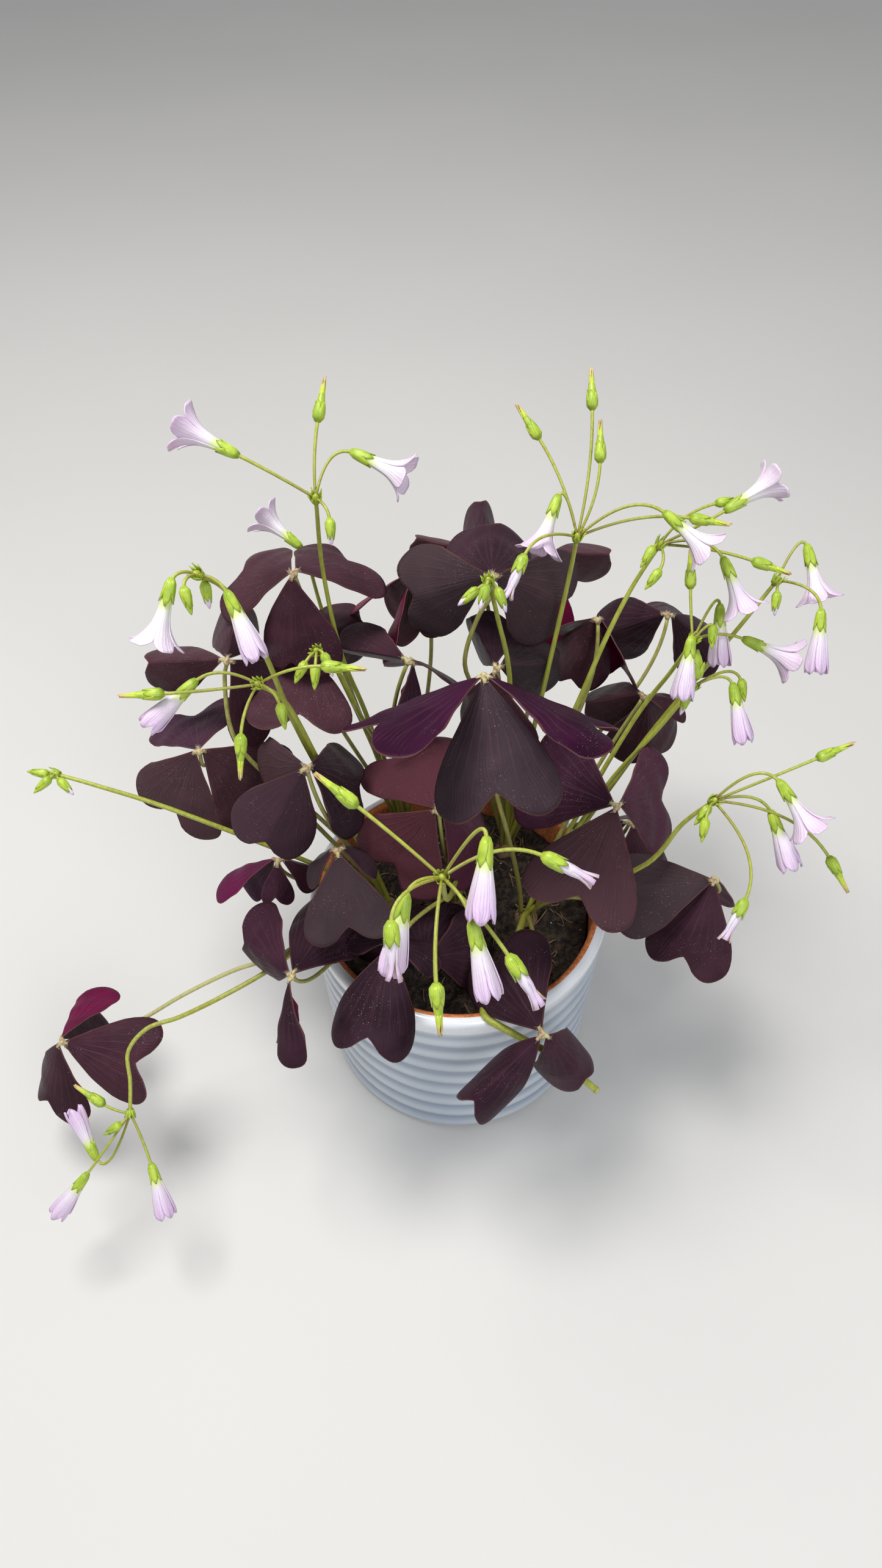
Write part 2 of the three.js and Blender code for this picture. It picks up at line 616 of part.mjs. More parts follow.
// Old stalks that carry nothing any more, cut off short: the crown, and the places each one runs
// through to its cut end. This one lies over the rim and hangs down outside the pot.
const STUBS = [
  { crown: 'right', path: [
    [22, -26, 98], [14, -46, 103], [9, -61, 108.8], [20, -69, 108], [36, -74, 99], [54, -82, 84],
  ] },
];

const plant = new THREE.Group();
plant.name = 'potted_shamrock';

function addPiece(name, solid, colour, roughness) {
  const mesh = new THREE.Mesh(geometryOf(solid), material(colour, roughness));
  mesh.name = name;
  plant.add(mesh);
}

addPiece('pot', solidOf(lathed(potProfile(), POT_SEGMENTS)), COLOURS.glaze, 0.25);

let soil = soilBody();
for (const centre of Object.values(CROWNS)) {
  const pit = crownPost(centre, PIT_RADIUS, PIT_RADIUS, CROWN_LOW - SEAT_GAP, SOIL_LEVEL + 2 * SOIL_RELIEF);
  soil = soil.subtract(solidOf(pit));
}
addPiece('soil', soil, COLOURS.soil, 0.95);

for (const [crown, centre] of Object.entries(CROWNS)) {
  const core = crownPost(centre, CROWN_RADIUS, CROWN_NECK, CROWN_LOW, CROWN_HIGH);
  const petioles = LEAVES.filter((leaf) => leaf.crown === crown)
    .map((leaf) => stalk(petioleCurve(leaf), PETIOLE_RADIUS, PETIOLE_STEPS + (leaf.path?.length ?? 0)));
  const flowering = UMBELS.filter((umbel) => umbel.crown === crown).flatMap(umbelGreens);
  const stubs = STUBS.filter((stub) => stub.crown === crown).map(stubBody);
  addPiece(`stalks_${crown}`, fused([core, ...petioles, ...flowering, ...stubs]), COLOURS.stalk, 0.6);
}

for (const leaf of LEAVES) addPiece(leaf.name, leafBody(leaf), COLOURS.blade, 0.5);

for (const umbel of UMBELS) {
  const blooms = flowerPlaces(umbel).filter((flower) => flower.kind in COROLLAS);
  blooms.forEach((flower, k) => {
    const base = flower.base.clone().addScaledVector(flower.axis, CALYX_LENGTH + SEAT_GAP);
    const petals = placed(corolla(COROLLAS[flower.kind]), base, flower.axis);
    addPiece(`flower_${umbel.name}_${k + 1}`, solidOf(petals), COLOURS.petal, 0.5);
  });
}

export default plant;
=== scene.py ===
# %% [markdown]
# # A purple shamrock in a ribbed pot
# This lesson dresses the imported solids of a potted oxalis. The solids are a fixed frame: they are never
# moved. Each step makes finer pieces, lets them ride on the frame, and hides the solids they stand for.
# Sizes are millimetres in the tables and metres in the scene.

# %% Load the frame
import math
import random

import bpy
import bmesh
from mathutils import Matrix, Vector, noise


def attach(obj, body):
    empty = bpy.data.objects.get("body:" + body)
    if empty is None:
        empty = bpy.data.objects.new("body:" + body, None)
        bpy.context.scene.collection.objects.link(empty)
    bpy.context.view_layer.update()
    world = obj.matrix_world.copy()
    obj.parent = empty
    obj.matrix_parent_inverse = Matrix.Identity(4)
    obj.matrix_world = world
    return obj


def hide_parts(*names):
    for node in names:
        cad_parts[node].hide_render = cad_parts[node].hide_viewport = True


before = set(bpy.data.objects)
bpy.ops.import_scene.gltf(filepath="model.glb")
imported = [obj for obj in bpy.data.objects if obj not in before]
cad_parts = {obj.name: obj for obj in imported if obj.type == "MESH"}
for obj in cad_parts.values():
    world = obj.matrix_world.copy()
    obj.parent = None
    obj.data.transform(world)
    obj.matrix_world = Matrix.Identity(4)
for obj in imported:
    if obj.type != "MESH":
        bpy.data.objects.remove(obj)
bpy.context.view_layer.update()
MM = 0.001
print("solids in the frame:", len(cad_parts))

# %% [markdown]
# ## Sizes and places
# The origin is the middle of the pot's foot, +Z is up and the viewer stands on the -Y side. The tables
# say where every leaf and umbel stands. A leaflet is a heading, a dip, a roll, a fold and a share of the
# leaf's length. A flower is a kind, its place from the umbel's head, a heading and a dip.

# %% Sizes of the pot, the soil and the crowns
POT_HEIGHT, RIM_RADIUS, FOOT_RADIUS, MOUTH_RADIUS = 107, 65, 61.4, 58.7
RIM_BAND, RIB_COUNT, RIB_DEPTH, WALL, FLOOR = 11, 8, 1.2, 6, 9
SOIL_LEVEL, SOIL_RELIEF, SOIL_EDGE = 92, 2.5, 57
CROWNS = {"left": (-31, 3), "back_left": (-24, 40), "back_right": (23, 34), "right": (30, -4),
          "centre": (0, 4)}
UP = Vector((0, 0, 1))

# A leaf's row ends with the path of its stalk where that isn't one bow.
LEAVES = [dict(zip(("name", "crown", "hub", "length", "leaflets", "path"), row)) for row in (
  ("leaf_centre", "right", [8, -5, 241], 40,
   [[275, 30, 10, 15], [210, 0, 30, 5], [338, 10, -35, 5]]),
  ("leaf_centre_behind", "back_right", [15, 34, 207], 36,
   [[35, 25, 50, 45], [105, 5, -35, 55], [235, 80, 0, 20]]),
  ("leaf_top", "back_right", [13, 45, 243], 37,
   [[160, 30, -60, 25], [20, 40, 70, 15], [90, 5, 0, 30]],
   [[14, 44, 130], [15, 48, 163], [3, 42, 202], [8, 43, 226]]),
  ("leaf_back_top", "back_right", [11, 78, 228], 33,
   [[145, 10, -35, 60], [90, -5, 0, 60], [35, 30, 50, 55]],
   [[22, 60, 140], [15, 80, 190]]),
  ("leaf_back_right", "back_right", [41, 110, 203], 34,
   [[25, 20, 45, 55], [135, 20, -25, 60], [255, 55, 0, 30]]),
  ("leaf_right_high", "back_right", [57, 62, 207], 33,
   [[205, 75, -40, 40], [100, 50, 30, 20], [15, 65, -30, 20]]),
  ("leaf_right_far", "back_right", [91, 84, 190], 36,
   [[150, 40, -60, 40], [0, 40, 45, 45], [80, 30, 5, 20]]),
  ("leaf_right_middle", "right", [76, 41, 184], 35,
   [[140, 40, -50, 50], [340, 80, 60, 30], [20, 25, 0, 20, 0.5]]),
  ("leaf_right_low", "right", [59, -14, 181], 37,
   [[137, 15, -35, 0], [243, 20, -10, 0], [40, 35, 50, 0]]),
  ("leaf_right_out", "right", [106, -12, 130], 35,
   [[180, 8, -10, 10], [100, 60, 0, 25], [240, 45, 0, 20]],
   [[44, -7, 111], [64, -9, 112], [92, -11, 120]]),
  ("leaf_right_hanging", "right", [76, 25, 122], 36,
   [[300, 65, 0, 10], [60, 40, 0, 20, 0.6], [180, 20, 0, 20, 0.6]],
   [[44, 4, 112], [62, 12, 112]]),
  ("leaf_left_front", "centre", [-8, -8, 172], 37,
   [[110, 10, -10, 0], [190, 60, -45, 0], [25, 60, 40, 10]]),
  ("leaf_left_middle", "left", [-56, -9, 199], 36,
   [[215, 55, -45, 30], [38, 52, 40, 15], [122, 20, 0, 60]]),
  ("leaf_left_wide", "left", [-104, 22, 175], 37,
   [[5, 55, 50, 0], [195, 65, -48, 0], [105, 20, -10, 0]],
   [[-45, 12, 120], [-74, 30, 142], [-97, 38, 158]]),
  ("leaf_left_below", "left", [-47, -21, 165], 29,
   [[280, 35, 5, 0], [30, 45, 0, 20, 0.6], [165, 50, 0, 20, 0.6]]),
  ("leaf_front_left", "left", [-65, -57, 133], 35,
   [[66, 5, 5, 20], [135, 22, -60, 20], [240, 55, 50, 20, 0.8]]),
  ("leaf_front_hanging", "centre", [-27, -47, 139], 36,
   [[252, 35, -5, 10], [10, 30, 0, 20, 0.5], [135, 25, 0, 20, 0.5]],
   [[1, -4, 112], [-6, -18, 128], [-20, -34, 133]]),
  ("leaf_front_middle", "centre", [-14, -43, 122], 30,
   [[30, 30, 45, 0], [155, 18, -40, 40], [85, 15, -10, 10]],
   [[-9, -28, 109]]),
  ("leaf_front_right", "right", [30, -79, 126], 37,
   [[115, 5, -30, 10], [212, 35, -15, 40], [350, 60, 40, 30]],
   [[31, -20, 106], [31, -45, 112], [30, -62, 114], [30, -74, 121]]),
  ("leaf_left_top", "back_left", [-61, 52, 240], 36,
   [[137, 25, -20, 15], [57, 25, 10, 5], [255, 70, 0, 30]]),
  ("leaf_left_back", "left", [-89, 37, 210], 36,
   [[90, 0, 10, 55], [165, 15, -40, 55], [15, 66, 50, 15]],
   [[-70, 17, 152], [-89, 24, 180]]),
  ("leaf_left_centre", "back_left", [-62, 61, 196], 35,
   [[270, 5, -5, 0], [50, 15, 40, 40], [150, 25, -10, 20, 0.6]]),
  ("leaf_back_middle", "back_left", [-19, 38, 208], 33,
   [[70, 45, 5, 10], [150, 15, -65, 60], [320, 75, -30, 40]]),
  ("leaf_back_left", "back_left", [-16, 85, 214], 32,
   [[130, 45, 40, 40], [205, 65, 50, 20], [330, 50, 0, 30, 0.7]]),
  ("leaf_left_low", "left", [-75, -3, 135], 30,
   [[150, 40, 45, 50], [20, 45, 0, 30, 0.6], [265, 40, 0, 30, 0.5]]),
  ("leaf_fallen", "left", [-170, -53, 75], 34,
   [[342, 0, 35, 0], [100, 30, -60, 50], [230, 60, 0, 10]],
   [[-47, -12, 108], [-61, -23, 111], [-76, -29, 103], [-95, -32, 97], [-117, -38, 88],
    [-140, -45, 76]]),
)]

# An umbel's path runs down its stalk, and its flowers follow.
UMBELS = [dict(zip(("name", "crown", "hub", "path", "flowers"), row)) for row in (
  ("top_left", "back_left", [-48, 39, 282],
   [[-50, 52, 240], [-46, 50, 200], [-38, 50, 165]],
   [["open", [-25, 6, 13], 159, -17], ["open", [12, 15, 8], 340, 16], ["fruit", [1, 20, 17], 77, -40],
    ["bud", [5, -8, -3], 272, 55]]),
  ("back_left", "back_left", [-62, 96, 215],
   [[-57, 96, 177]],
   [["open", [-2, 1, 3], 148, -25]]),
  ("left_high", "left", [-82, -2, 283],
   [[-76, 4, 272], [-68, 6, 245], [-62, 10, 205]],
   [["open", [-7, -5, 2], 243, 50], ["half", [9, -4, -4], 303, 45], ["bud", [-3, -8, 1], 292, 55],
    ["bud", [1, 2, -5], 283, 60]]),
  ("left_low", "left", [-68, -9, 242],
   [[-62, 0, 225], [-54, 4, 190]],
   [["half", [-21, 1, 1], 211, 30], ["fruit", [-31, -5, 1], 182, 1], ["fruit", [22, 2, 6], 356, 3],
    ["fruit", [-5, -17, -7], 265, 50], ["bud", [8, -9, -1], 286, 50]]),
  ("left_inner", "back_left", [-51, 18, 232],
   [[-46, 27, 215], [-40, 34, 185], [-32, 42, 150]],
   [["bud", [-4, -5, -1], 228, 45], ["bud", [0, -8, 0], 264, 50], ["bud", [3, -4, 2], 300, 45]]),
  ("middle", "back_right", [10, 19, 262],
   [[14, 26, 240], [20, 32, 205]],
   [["bud", [-4, -2, -2], 206, 30], ["bud", [-1, -5, 2], 247, 45], ["bud", [3, -2, -2], 300, 45]]),
  ("top_right", "back_right", [43, 48, 258],
   [[42, 52, 235], [36, 46, 190]],
   [["open", [-7, 8, 12], 242, 45], ["open", [30, 0, 10], 328, 28],
    ["fruit", [-13, 31, 21], 130, -33], ["fruit", [6, 35, 30], 91, -41],
    ["fruit", [8, 17, 20], 89, -41], ["withered", [-20, -14, 3], 239, 40],
    ["fruit", [41, 5, 4], 352, 7]]),
  ("right_high", "back_right", [74, 51, 252],
   [[66, 48, 236], [58, 42, 218], [47, 36, 180]],
   [["open", [24, 9, 8], 24, -19], ["open", [22, -7, -1], 305, 45], ["fruit", [34, -5, -4], 344, 13],
    ["bud", [22, 15, 7], 7, -6], ["bud", [-3, -3, 1], 225, 40], ["bud", [-1, -10, -4], 218, 40]]),
  ("right_inner", "right", [87, 29, 225],
   [[83, 34, 205], [72, 36, 175]],
   [["half", [12, 15, 4], 273, 55], ["half", [-2, -4, 5], 260, 55], ["bud", [7, 2, 5], 266, 50],
    ["fruit", [0, 17, 11], 89, -41], ["open", [21, 6, -5], 346, 20]]),
  ("right_outer", "right", [119, 47, 238],
   [[108, 40, 224], [96, 38, 200], [76, 32, 164]],
   [["open", [11, 9, 9], 291, 45], ["half", [13, -16, -1], 269, 55], ["bud", [-1, -6, -1], 266, 55]]),
  ("right_middle", "right", [89, 22, 208],
   [[80, 24, 184], [62, 22, 150]],
   [["half", [15, 1, 0], 290, 50], ["bud", [19, 4, -1], 288, 50], ["bud", [-3, -5, 1], 241, 45],
    ["fat", [0, 0, 4], 87, -50]]),
  ("right_low", "right", [92, -21, 192],
   [[84, -18, 175], [74, -18, 150]],
   [["open", [20, -3, 14], 312, 35], ["half", [21, -3, -3], 302, 45], ["fruit", [39, 13, 8], 17, -14],
    ["fruit", [42, -16, -14], 309, 40], ["withered", [9, -32, -17], 233, 40],
    ["bud", [-2, -3, 0], 219, 35], ["bud", [-4, -8, -1], 257, 50]]),
  ("front", "centre", [-7, -94, 248],
   [[-6, -78, 215], [-4, -46, 170], [-1, -8, 125]],
   [["fruit", [-24, 16, 13], 149, -24], ["withered", [29, 8, -1], 340, 20],
    ["half", [12, -1, 19], 263, 50], ["half", [8, -14, -1], 289, 50], ["half", [-10, -7, 2], 251, 50],
    ["withered", [-14, -16, 2], 273, 50], ["fruit", [-2, -29, -9], 276, 50],
    ["withered", [18, -21, -8], 313, 40]]),
  ("hanging", "left", [-136, -84, 72],
   [[-136, -74, 80], [-137, -64, 87], [-130, -56, 91], [-117, -52, 93], [-100, -46, 98],
    [-77, -33, 102], [-61, -24, 111], [-46, -15, 109]],
   [["half", [-17, -20, -13], 218, 40], ["half", [9, -17, -11], 290, 45],
    ["half", [-15, -13, -15], 121, -36], ["fruit", [-11, 3, 2], 153, -22],
    ["bud", [-3, -5, 1], 204, 25]]),
  ("left_edge", "left", [-159, 11, 175],
   [[-144, 7, 173], [-114, 4, 160]],
   [["bud", [-3, 0, 0], 174, -5], ["bud", [2, -3, 0], 320, 25], ["bud", [-1, -4, 2], 216, 25]]),
)]
print("leaves:", len(LEAVES), "umbels:", len(UMBELS))

# %% [markdown]
# ## Shader arithmetic
# A pattern is a small sum over the surface, so it reads best as one. `Num` wraps a socket, and each
# operator on it adds a Math node. `Look` is one material: `add` makes any other node, `paint` sets the
# main shader's own inputs, and `bump` feeds its normal.

# %% A number that flows through nodes
class Num:
    def __init__(self, look, socket):
        self.look, self.socket = look, socket

    def math(self, kind, *others):
        node = self.look.add("ShaderNodeMath", (self, *others), operation=kind)
        return Num(self.look, node.outputs[0])

    def __add__(self, other): return self.math("ADD", other)
    def __sub__(self, other): return self.math("SUBTRACT", other)
    def __mul__(self, other): return self.math("MULTIPLY", other)
    def __pow__(self, other): return self.math("POWER", other)
    def __rsub__(self, other): return self * -1 + other

    def sin(self): return self.math("SINE")
    def abs(self): return self.math("ABSOLUTE")
    def least(self, other): return self.math("MINIMUM", other)

    def span(self, low, high):
        """0 below low and 1 above high, with a soft step between; low may be the larger."""
        low, high, flip = (low, high, False) if low < high else (high, low, True)
        node = self.look.add("ShaderNodeMapRange", (self, low, high), interpolation_type="SMOOTHSTEP")
        step = Num(self.look, node.outputs[0])
        return 1 - step if flip else step


# %% A material
class Look:
    def __init__(self, name, **inputs):
        self.material = bpy.data.materials.new(name)
        self.material.use_nodes = True
        self.tree = self.material.node_tree
        self.shader = self.tree.nodes["Principled BSDF"]
        self.place = self.add("ShaderNodeTexCoord").outputs["Object"]
        self.paint(**inputs)

    def feed(self, socket, value):
        value = value.socket if isinstance(value, Num) else value
        if isinstance(value, bpy.types.NodeSocket):
            self.tree.links.new(value, socket)
        elif isinstance(value, tuple) and len(value) == 3 and socket.type == "RGBA":
            socket.default_value = (*value, 1)
        else:
            socket.default_value = value

    def add(self, kind, inputs=(), **settings):
        node = self.tree.nodes.new(kind)
        for key, value in settings.items():
            setattr(node, key, value)
        for key, value in inputs.items() if isinstance(inputs, dict) else enumerate(inputs):
            self.feed(node.inputs[key], value)
        return node

    def paint(self, **inputs):
        for key, value in inputs.items():
            self.feed(self.shader.inputs[key.replace("_", " ")], value)

    def number(self, name):
        return Num(self, self.add("ShaderNodeAttribute", attribute_name=name).outputs["Fac"])

    def height(self):
        return Num(self, self.add("ShaderNodeSeparateXYZ", (self.place,)).outputs[2])

    def noise(self, scale, detail=2.0, stretch=(1, 1, 1)):
        spot = self.add("ShaderNodeMapping", {"Vector": self.place, "Scale": stretch}).outputs[0]
        made = self.add("ShaderNodeTexNoise", {"Vector": spot, "Scale": scale, "Detail": detail})
        return Num(self, made.outputs["Fac"])

    def mix(self, low, high, amount):
        return self.add("ShaderNodeMix", {0: amount, 6: low, 7: high}, data_type="RGBA").outputs[2]

    def bump(self, height, distance):
        node = self.add("ShaderNodeBump", {"Height": height, "Distance": distance})
        self.paint(Normal=node.outputs[0])


print("shader classes ready")

# %% [markdown]
# ## Piece builder
# Every piece starts from one of Blender's mesh operators. A `sheet` is a grid, bent vertex by vertex and
# then given a thickness: leaflets, sepals and petals. A `tube` is a cone, cut into rings and bent along
# a curve: stalks and fruits. A `lump` is a rough ball: crumbs and grit. Every vertex of a sheet or tube
# also carries a few numbers that the shaders read.

# %% The Piece class
FIELDS = ("along", "across", "warm", "violet", "gloom", "rim", "tint")


class Piece:
    def __init__(self, name, *looks):
        self.name, self.looks = name, looks
        self.mesh = bmesh.new()
        self.fields = {field: self.mesh.verts.layers.float.new(field) for field in FIELDS}

    def mark(self, vert, **values):
        for key, value in values.items():
            vert[self.fields[key]] = value

    def sheet(self, columns, rows, shape, thickness, looks, **values):
        """shape(u, v) gives a point and its numbers: u from -1 to 1 over the width, v from 0 to 1."""
        verts = bmesh.ops.create_grid(self.mesh, x_segments=columns, y_segments=rows, size=1)["verts"]
        for vert in verts:
            point, own = shape(-vert.co.x, (vert.co.y + 1) / 2)
            vert.co = point * MM
            self.mark(vert, **values, **own)
        tops = list({face for vert in verts for face in vert.link_faces})
        for face in tops:
            face.normal_update()
        made = bmesh.ops.solidify(self.mesh, geom=tops, thickness=thickness * MM)["geom"]
        unders = {face for face in made if isinstance(face, bmesh.types.BMFace)}
        around = {face for top in tops for edge in top.edges for face in edge.link_faces}
        edges = around - set(tops) - unders
        for faces, look in zip((tops, unders, edges), looks):
            for face in faces:
                face.material_index, face.smooth = look, True

    def tube(self, points, radii, look=0, sides=8, **values):
        """A closed round body along a line of points; radii is one radius or one for each point."""
        last = len(points) - 1
        radii = radii if isinstance(radii, (list, tuple)) else [radii] * (last + 1)
        cone = bmesh.ops.create_cone(
            self.mesh, cap_ends=True, segments=sides, radius1=1, radius2=1, depth=1)
        verts = cone["verts"]
        rises = lambda edge: abs(edge.verts[0].co.z - edge.verts[1].co.z) > 0.5
        uprights = list({edge for vert in verts for edge in vert.link_edges if rises(edge)})
        cut = bmesh.ops.subdivide_edges(self.mesh, edges=uprights, cuts=last - 1, use_grid_fill=True)
        side, frames = (points[1] - points[0]).orthogonal(), []
        for i in range(last + 1):
            along = (points[min(i + 1, last)] - points[max(i - 1, 0)]).normalized()
            side = (side - along * side.dot(along)).normalized()
            frames.append((side, along.cross(side)))
        inner = [part for part in cut["geom_inner"] if isinstance(part, bmesh.types.BMVert)]
        for vert in {end for part in inner for edge in part.link_edges for end in edge.verts}:
            i = round((vert.co.z + 0.5) * last)
            x, y = vert.co.xy
            vert.co = (points[i] + (frames[i][0] * x + frames[i][1] * y) * radii[i]) * MM
            self.mark(vert, along=i / last, across=math.atan2(y, x) / math.pi, **values)
            for face in vert.link_faces:
                face.material_index, face.smooth = look, len(face.verts) == 4

    def lump(self, centre, radius, look, seed, stretch):
        verts = bmesh.ops.create_icosphere(self.mesh, subdivisions=1, radius=radius)["verts"]
        for vert in verts:
            wobble = 0.75 + 0.5 * noise.noise(vert.co * 0.9 + Vector((seed, 0, 0)))
            vert.co = (centre + Vector(a * b for a, b in zip(vert.co * wobble, stretch))) * MM
        for face in {face for vert in verts for face in vert.link_faces}:
            face.material_index = look

    def finish(self, slot, *nodes):
        mesh = bpy.data.meshes.new(self.name)
        self.mesh.to_mesh(mesh)
        self.mesh.free()
        for look in self.looks:
            mesh.materials.append(look.material)
        made = bpy.data.objects.new(self.name, mesh)
        bpy.context.scene.collection.objects.link(made)
        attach(made, "root")
        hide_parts(*nodes)
        return len(mesh.polygons)


# %% [markdown]
# ## Curves
# A stalk is drawn through a few places. `spline` runs smoothly through all of them, `bezier` bows
# between its handles, and `level` reads a smooth profile, such as a petal's radius along its length.

# %% Curve helpers
def lerp(low, high, t):
    return low + (high - low) * t


def hermite(p, q, m, n, t):
    at_p, at_q = 2 * t**3 - 3 * t**2 + 1, 3 * t**2 - 2 * t**3
    return p * at_p + m * (t**3 - 2 * t**2 + t) + q * at_q + n * (t**3 - t**2)


def level(values, at):
    """A smooth curve through (place, value) pairs."""
    xs, last = [x for x, _ in values], len(values) - 1
    k = max(0, min(last - 1, sum(x <= at for x in xs) - 1))
    ends = [(max(i - 1, 0), min(i + 1, last)) for i in (k, k + 1)]
    m, n = ((values[b][1] - values[a][1]) / (xs[b] - xs[a]) * (xs[k + 1] - xs[k]) for a, b in ends)
    return hermite(values[k][1], values[k + 1][1], m, n, (at - xs[k]) / (xs[k + 1] - xs[k]))


def spline(points, cuts=8):
    """A centripetal curve through the points."""
    points = [Vector(p) for p in points]
    points = [2 * points[0] - points[1], *points, 2 * points[-1] - points[-2]]
    curve = []
    for a, b, c, d in zip(points, points[1:], points[2:], points[3:]):
        before, here, after = (step.length ** 0.5 for step in (b - a, c - b, d - c))
        m = (b - a) * (here / before) - (c - a) * (here / (before + here)) + (c - b)
        n = (c - b) - (d - b) * (here / (here + after)) + (d - c) * (here / after)
        curve += [hermite(b, c, m, n, k / cuts) for k in range(cuts)]
    return [*curve, points[-2]]


def bezier(handles, steps):
    n = len(handles) - 1
    share = lambda t, k: math.comb(n, k) * t**k * (1 - t) ** (n - k)
    spot = lambda t: sum((p * share(t, k) for k, p in enumerate(handles)), Vector())
    return [spot(s / steps) for s in range(steps + 1)]


def axis_of(heading, dip):
    h, d = math.radians(heading), math.radians(dip)
    return Vector((math.cos(h) * math.cos(d), math.sin(h) * math.cos(d), -math.sin(d)))


print("a bow's middle:", bezier([Vector(), UP, Vector((1, 0, 1))], 2)[1])

# %% [markdown]
# ## Glaze and bare clay
# The pot wears a glossy blue-grey glaze. The rim band is a paler glaze, painted near white so that it
# also carries a painted highlight, and the grooves between the ribs are painted darker as painted shade.
# The lip's inside is bare orange clay. A glaze is a coat over a softer base, so the main shader's coat
# gives its shine.

# %% Pot materials
glaze = Look("glaze", Roughness=0.25, Coat_Weight=0.6, Coat_Roughness=0.06)
grey = glaze.mix((0.47, 0.54, 0.63), (0.55, 0.61, 0.68), glaze.noise(22, 3).span(0.35, 0.65))
# Painted shade: the colour is darkened in the grooves between the ribs, where the light would shade them.
# The mask is the rim number on the pot's vertices.
groove = glaze.number("rim")
grey = glaze.mix(grey, (0.21, 0.26, 0.35), groove * 0.85)
# The rim band is a paler glaze of its own. Painting it near white also paints in the highlight that light
# puts on the rim.
band = glaze.height().span(0.0935, 0.0985)
pits = glaze.noise(900, 1).span(0.72, 0.77)
pale_band_and_highlight = glaze.mix(grey, (0.80, 0.83, 0.87), band)
glaze.paint(Base_Color=glaze.mix(pale_band_and_highlight, (0.25, 0.28, 0.33), pits * 0.4))
glaze.bump(glaze.noise(260, 2), 0.00006)

clay = Look("bare_clay", Roughness=0.85)
grain = clay.noise(700, 3)
clay.paint(Base_Color=clay.mix((0.50, 0.13, 0.035), (0.74, 0.27, 0.09), grain.span(0.3, 0.7)))
clay.bump(grain, 0.0003)
print("pot looks:", glaze.material.name, clay.material.name)

# %% [markdown]
# ## The pot
# A thrown pot is a profile turned round an axis, so a few vertices and `spin` make it. The ribs are
# rounded ridges with narrow grooves between, as a thrower's finger leaves them.

# %% The pot's profile
def spin_profile(piece, profile, steps):
    """Turns (radius, height) pairs into a closed round body."""
    line = [piece.mesh.verts.new(Vector((r, 0, z)) * MM) for r, z in profile]
    edges = [piece.mesh.edges.new(pair) for pair in zip(line, line[1:])]
    bmesh.ops.spin(piece.mesh, geom=line + edges, axis=UP, cent=(0, 0, 0), angle=math.tau, steps=steps,
                   use_merge=True)
    bmesh.ops.remove_doubles(piece.mesh, verts=piece.mesh.verts, dist=1e-6)
    bmesh.ops.recalc_face_normals(piece.mesh, faces=piece.mesh.faces)


def wall_radius(z):
    return lerp(FOOT_RADIUS, RIM_RADIUS, z / POT_HEIGHT)


PITCH = (POT_HEIGHT - RIM_BAND) / RIB_COUNT
RIB_ROWS, POT_STEPS, LIP_WIDTH = 10, 160, 3.4
profile = [(0, 0.6), (45, 0.6), (47, 0), (FOOT_RADIUS - 5, 0), (FOOT_RADIUS - 2.4, 0.8)]
for step in range(2, RIB_COUNT * RIB_ROWS + 1):
    z = step * PITCH / RIB_ROWS
    groove = 1 - abs(math.sin(math.pi * z / PITCH)) ** 0.75
    profile.append((wall_radius(z) - RIB_DEPTH * groove - 1.4 * max(0, 1 - z / 4) ** 2, z))
rim = [(96, 63.4), (97.2, 64.1), (98.75, 64.5), (101, 64.8), (103.5, 65), (105, 64.85), (106, 64.25)]
rim_rows = (96.6, 97.2, 98, 98.75, 100, 101.2, 102.4, 103.5, 104.3, 105, 105.6, 106)
profile += [(level(rim, z), z) for z in rim_rows]
profile += [(63.4, 106.7), (62.4, 107), (61.3, 106.95), (60.3, 106.7), (59.5, 106.1), (58.9, 105.4)]
profile += [(MOUTH_RADIUS, 104.8), (58.4, 100), (58.1, 96), (57.6, 80)]
profile += [(FOOT_RADIUS - WALL, FLOOR), (0, FLOOR)]
print("profile points:", len(profile))

# %% Spin the profile
pot = Piece("pot_glazed", glaze, clay)
spin_profile(pot, profile, POT_STEPS)
for face in pot.mesh.faces:
    spot = face.calc_center_median() / MM
    bare = spot.z < 0.5 or spot.xy.length < wall_radius(spot.z) - LIP_WIDTH
    face.material_index, face.smooth = int(bare), True
# The rim number on the pot is the mask of the painted groove shade: 1 at the bottom of each groove, 0 on
# a rib's crest, and 0 from the rim band up.
for vert in pot.mesh.verts:
    swing = 0.5 + 0.5 * math.cos(2 * math.pi * vert.co.z / MM / PITCH)
    pot.mark(vert, rim=swing ** 1.3 * (vert.co.z < 0.0965))
print("pot faces:", pot.finish("glaze", "pot"))

# %% [markdown]
# ## Soil
# Potting peat is dark and crumbly, with dry fibres and pale grit in it. A disc is spun and roughened
# with fractal noise, and crumbs, grit and fibres lie on it. The draws are seeded, so it is the same
# each time.

# %% Soil materials
peat = Look("peat", Roughness=0.92)
rough = peat.noise(380, 6)
dark = peat.mix((0.010, 0.007, 0.005), (0.060, 0.038, 0.024), rough.span(0.38, 0.66))
peat.paint(Base_Color=peat.mix(dark, (0.20, 0.14, 0.09), peat.noise(1400, 2).span(0.66, 0.74)))
peat.bump(rough + peat.noise(1300, 3) * 0.5, 0.0014)

fibre = Look("fibre", Roughness=0.8)
fibre.paint(Base_Color=fibre.mix((0.34, 0.22, 0.12), (0.13, 0.075, 0.04), fibre.noise(300, 2)))
fibre.bump(fibre.noise(900), 0.0003)

grit = Look("grit", Roughness=0.75)
grit.paint(Base_Color=grit.mix((0.62, 0.60, 0.55), (0.36, 0.33, 0.28), grit.noise(900, 2)))
grit.bump(grit.noise(1500), 0.0004)
print("soil looks ready")

# %% The soil's surface
SOIL_STEPS, SOIL_RINGS = 120, 48


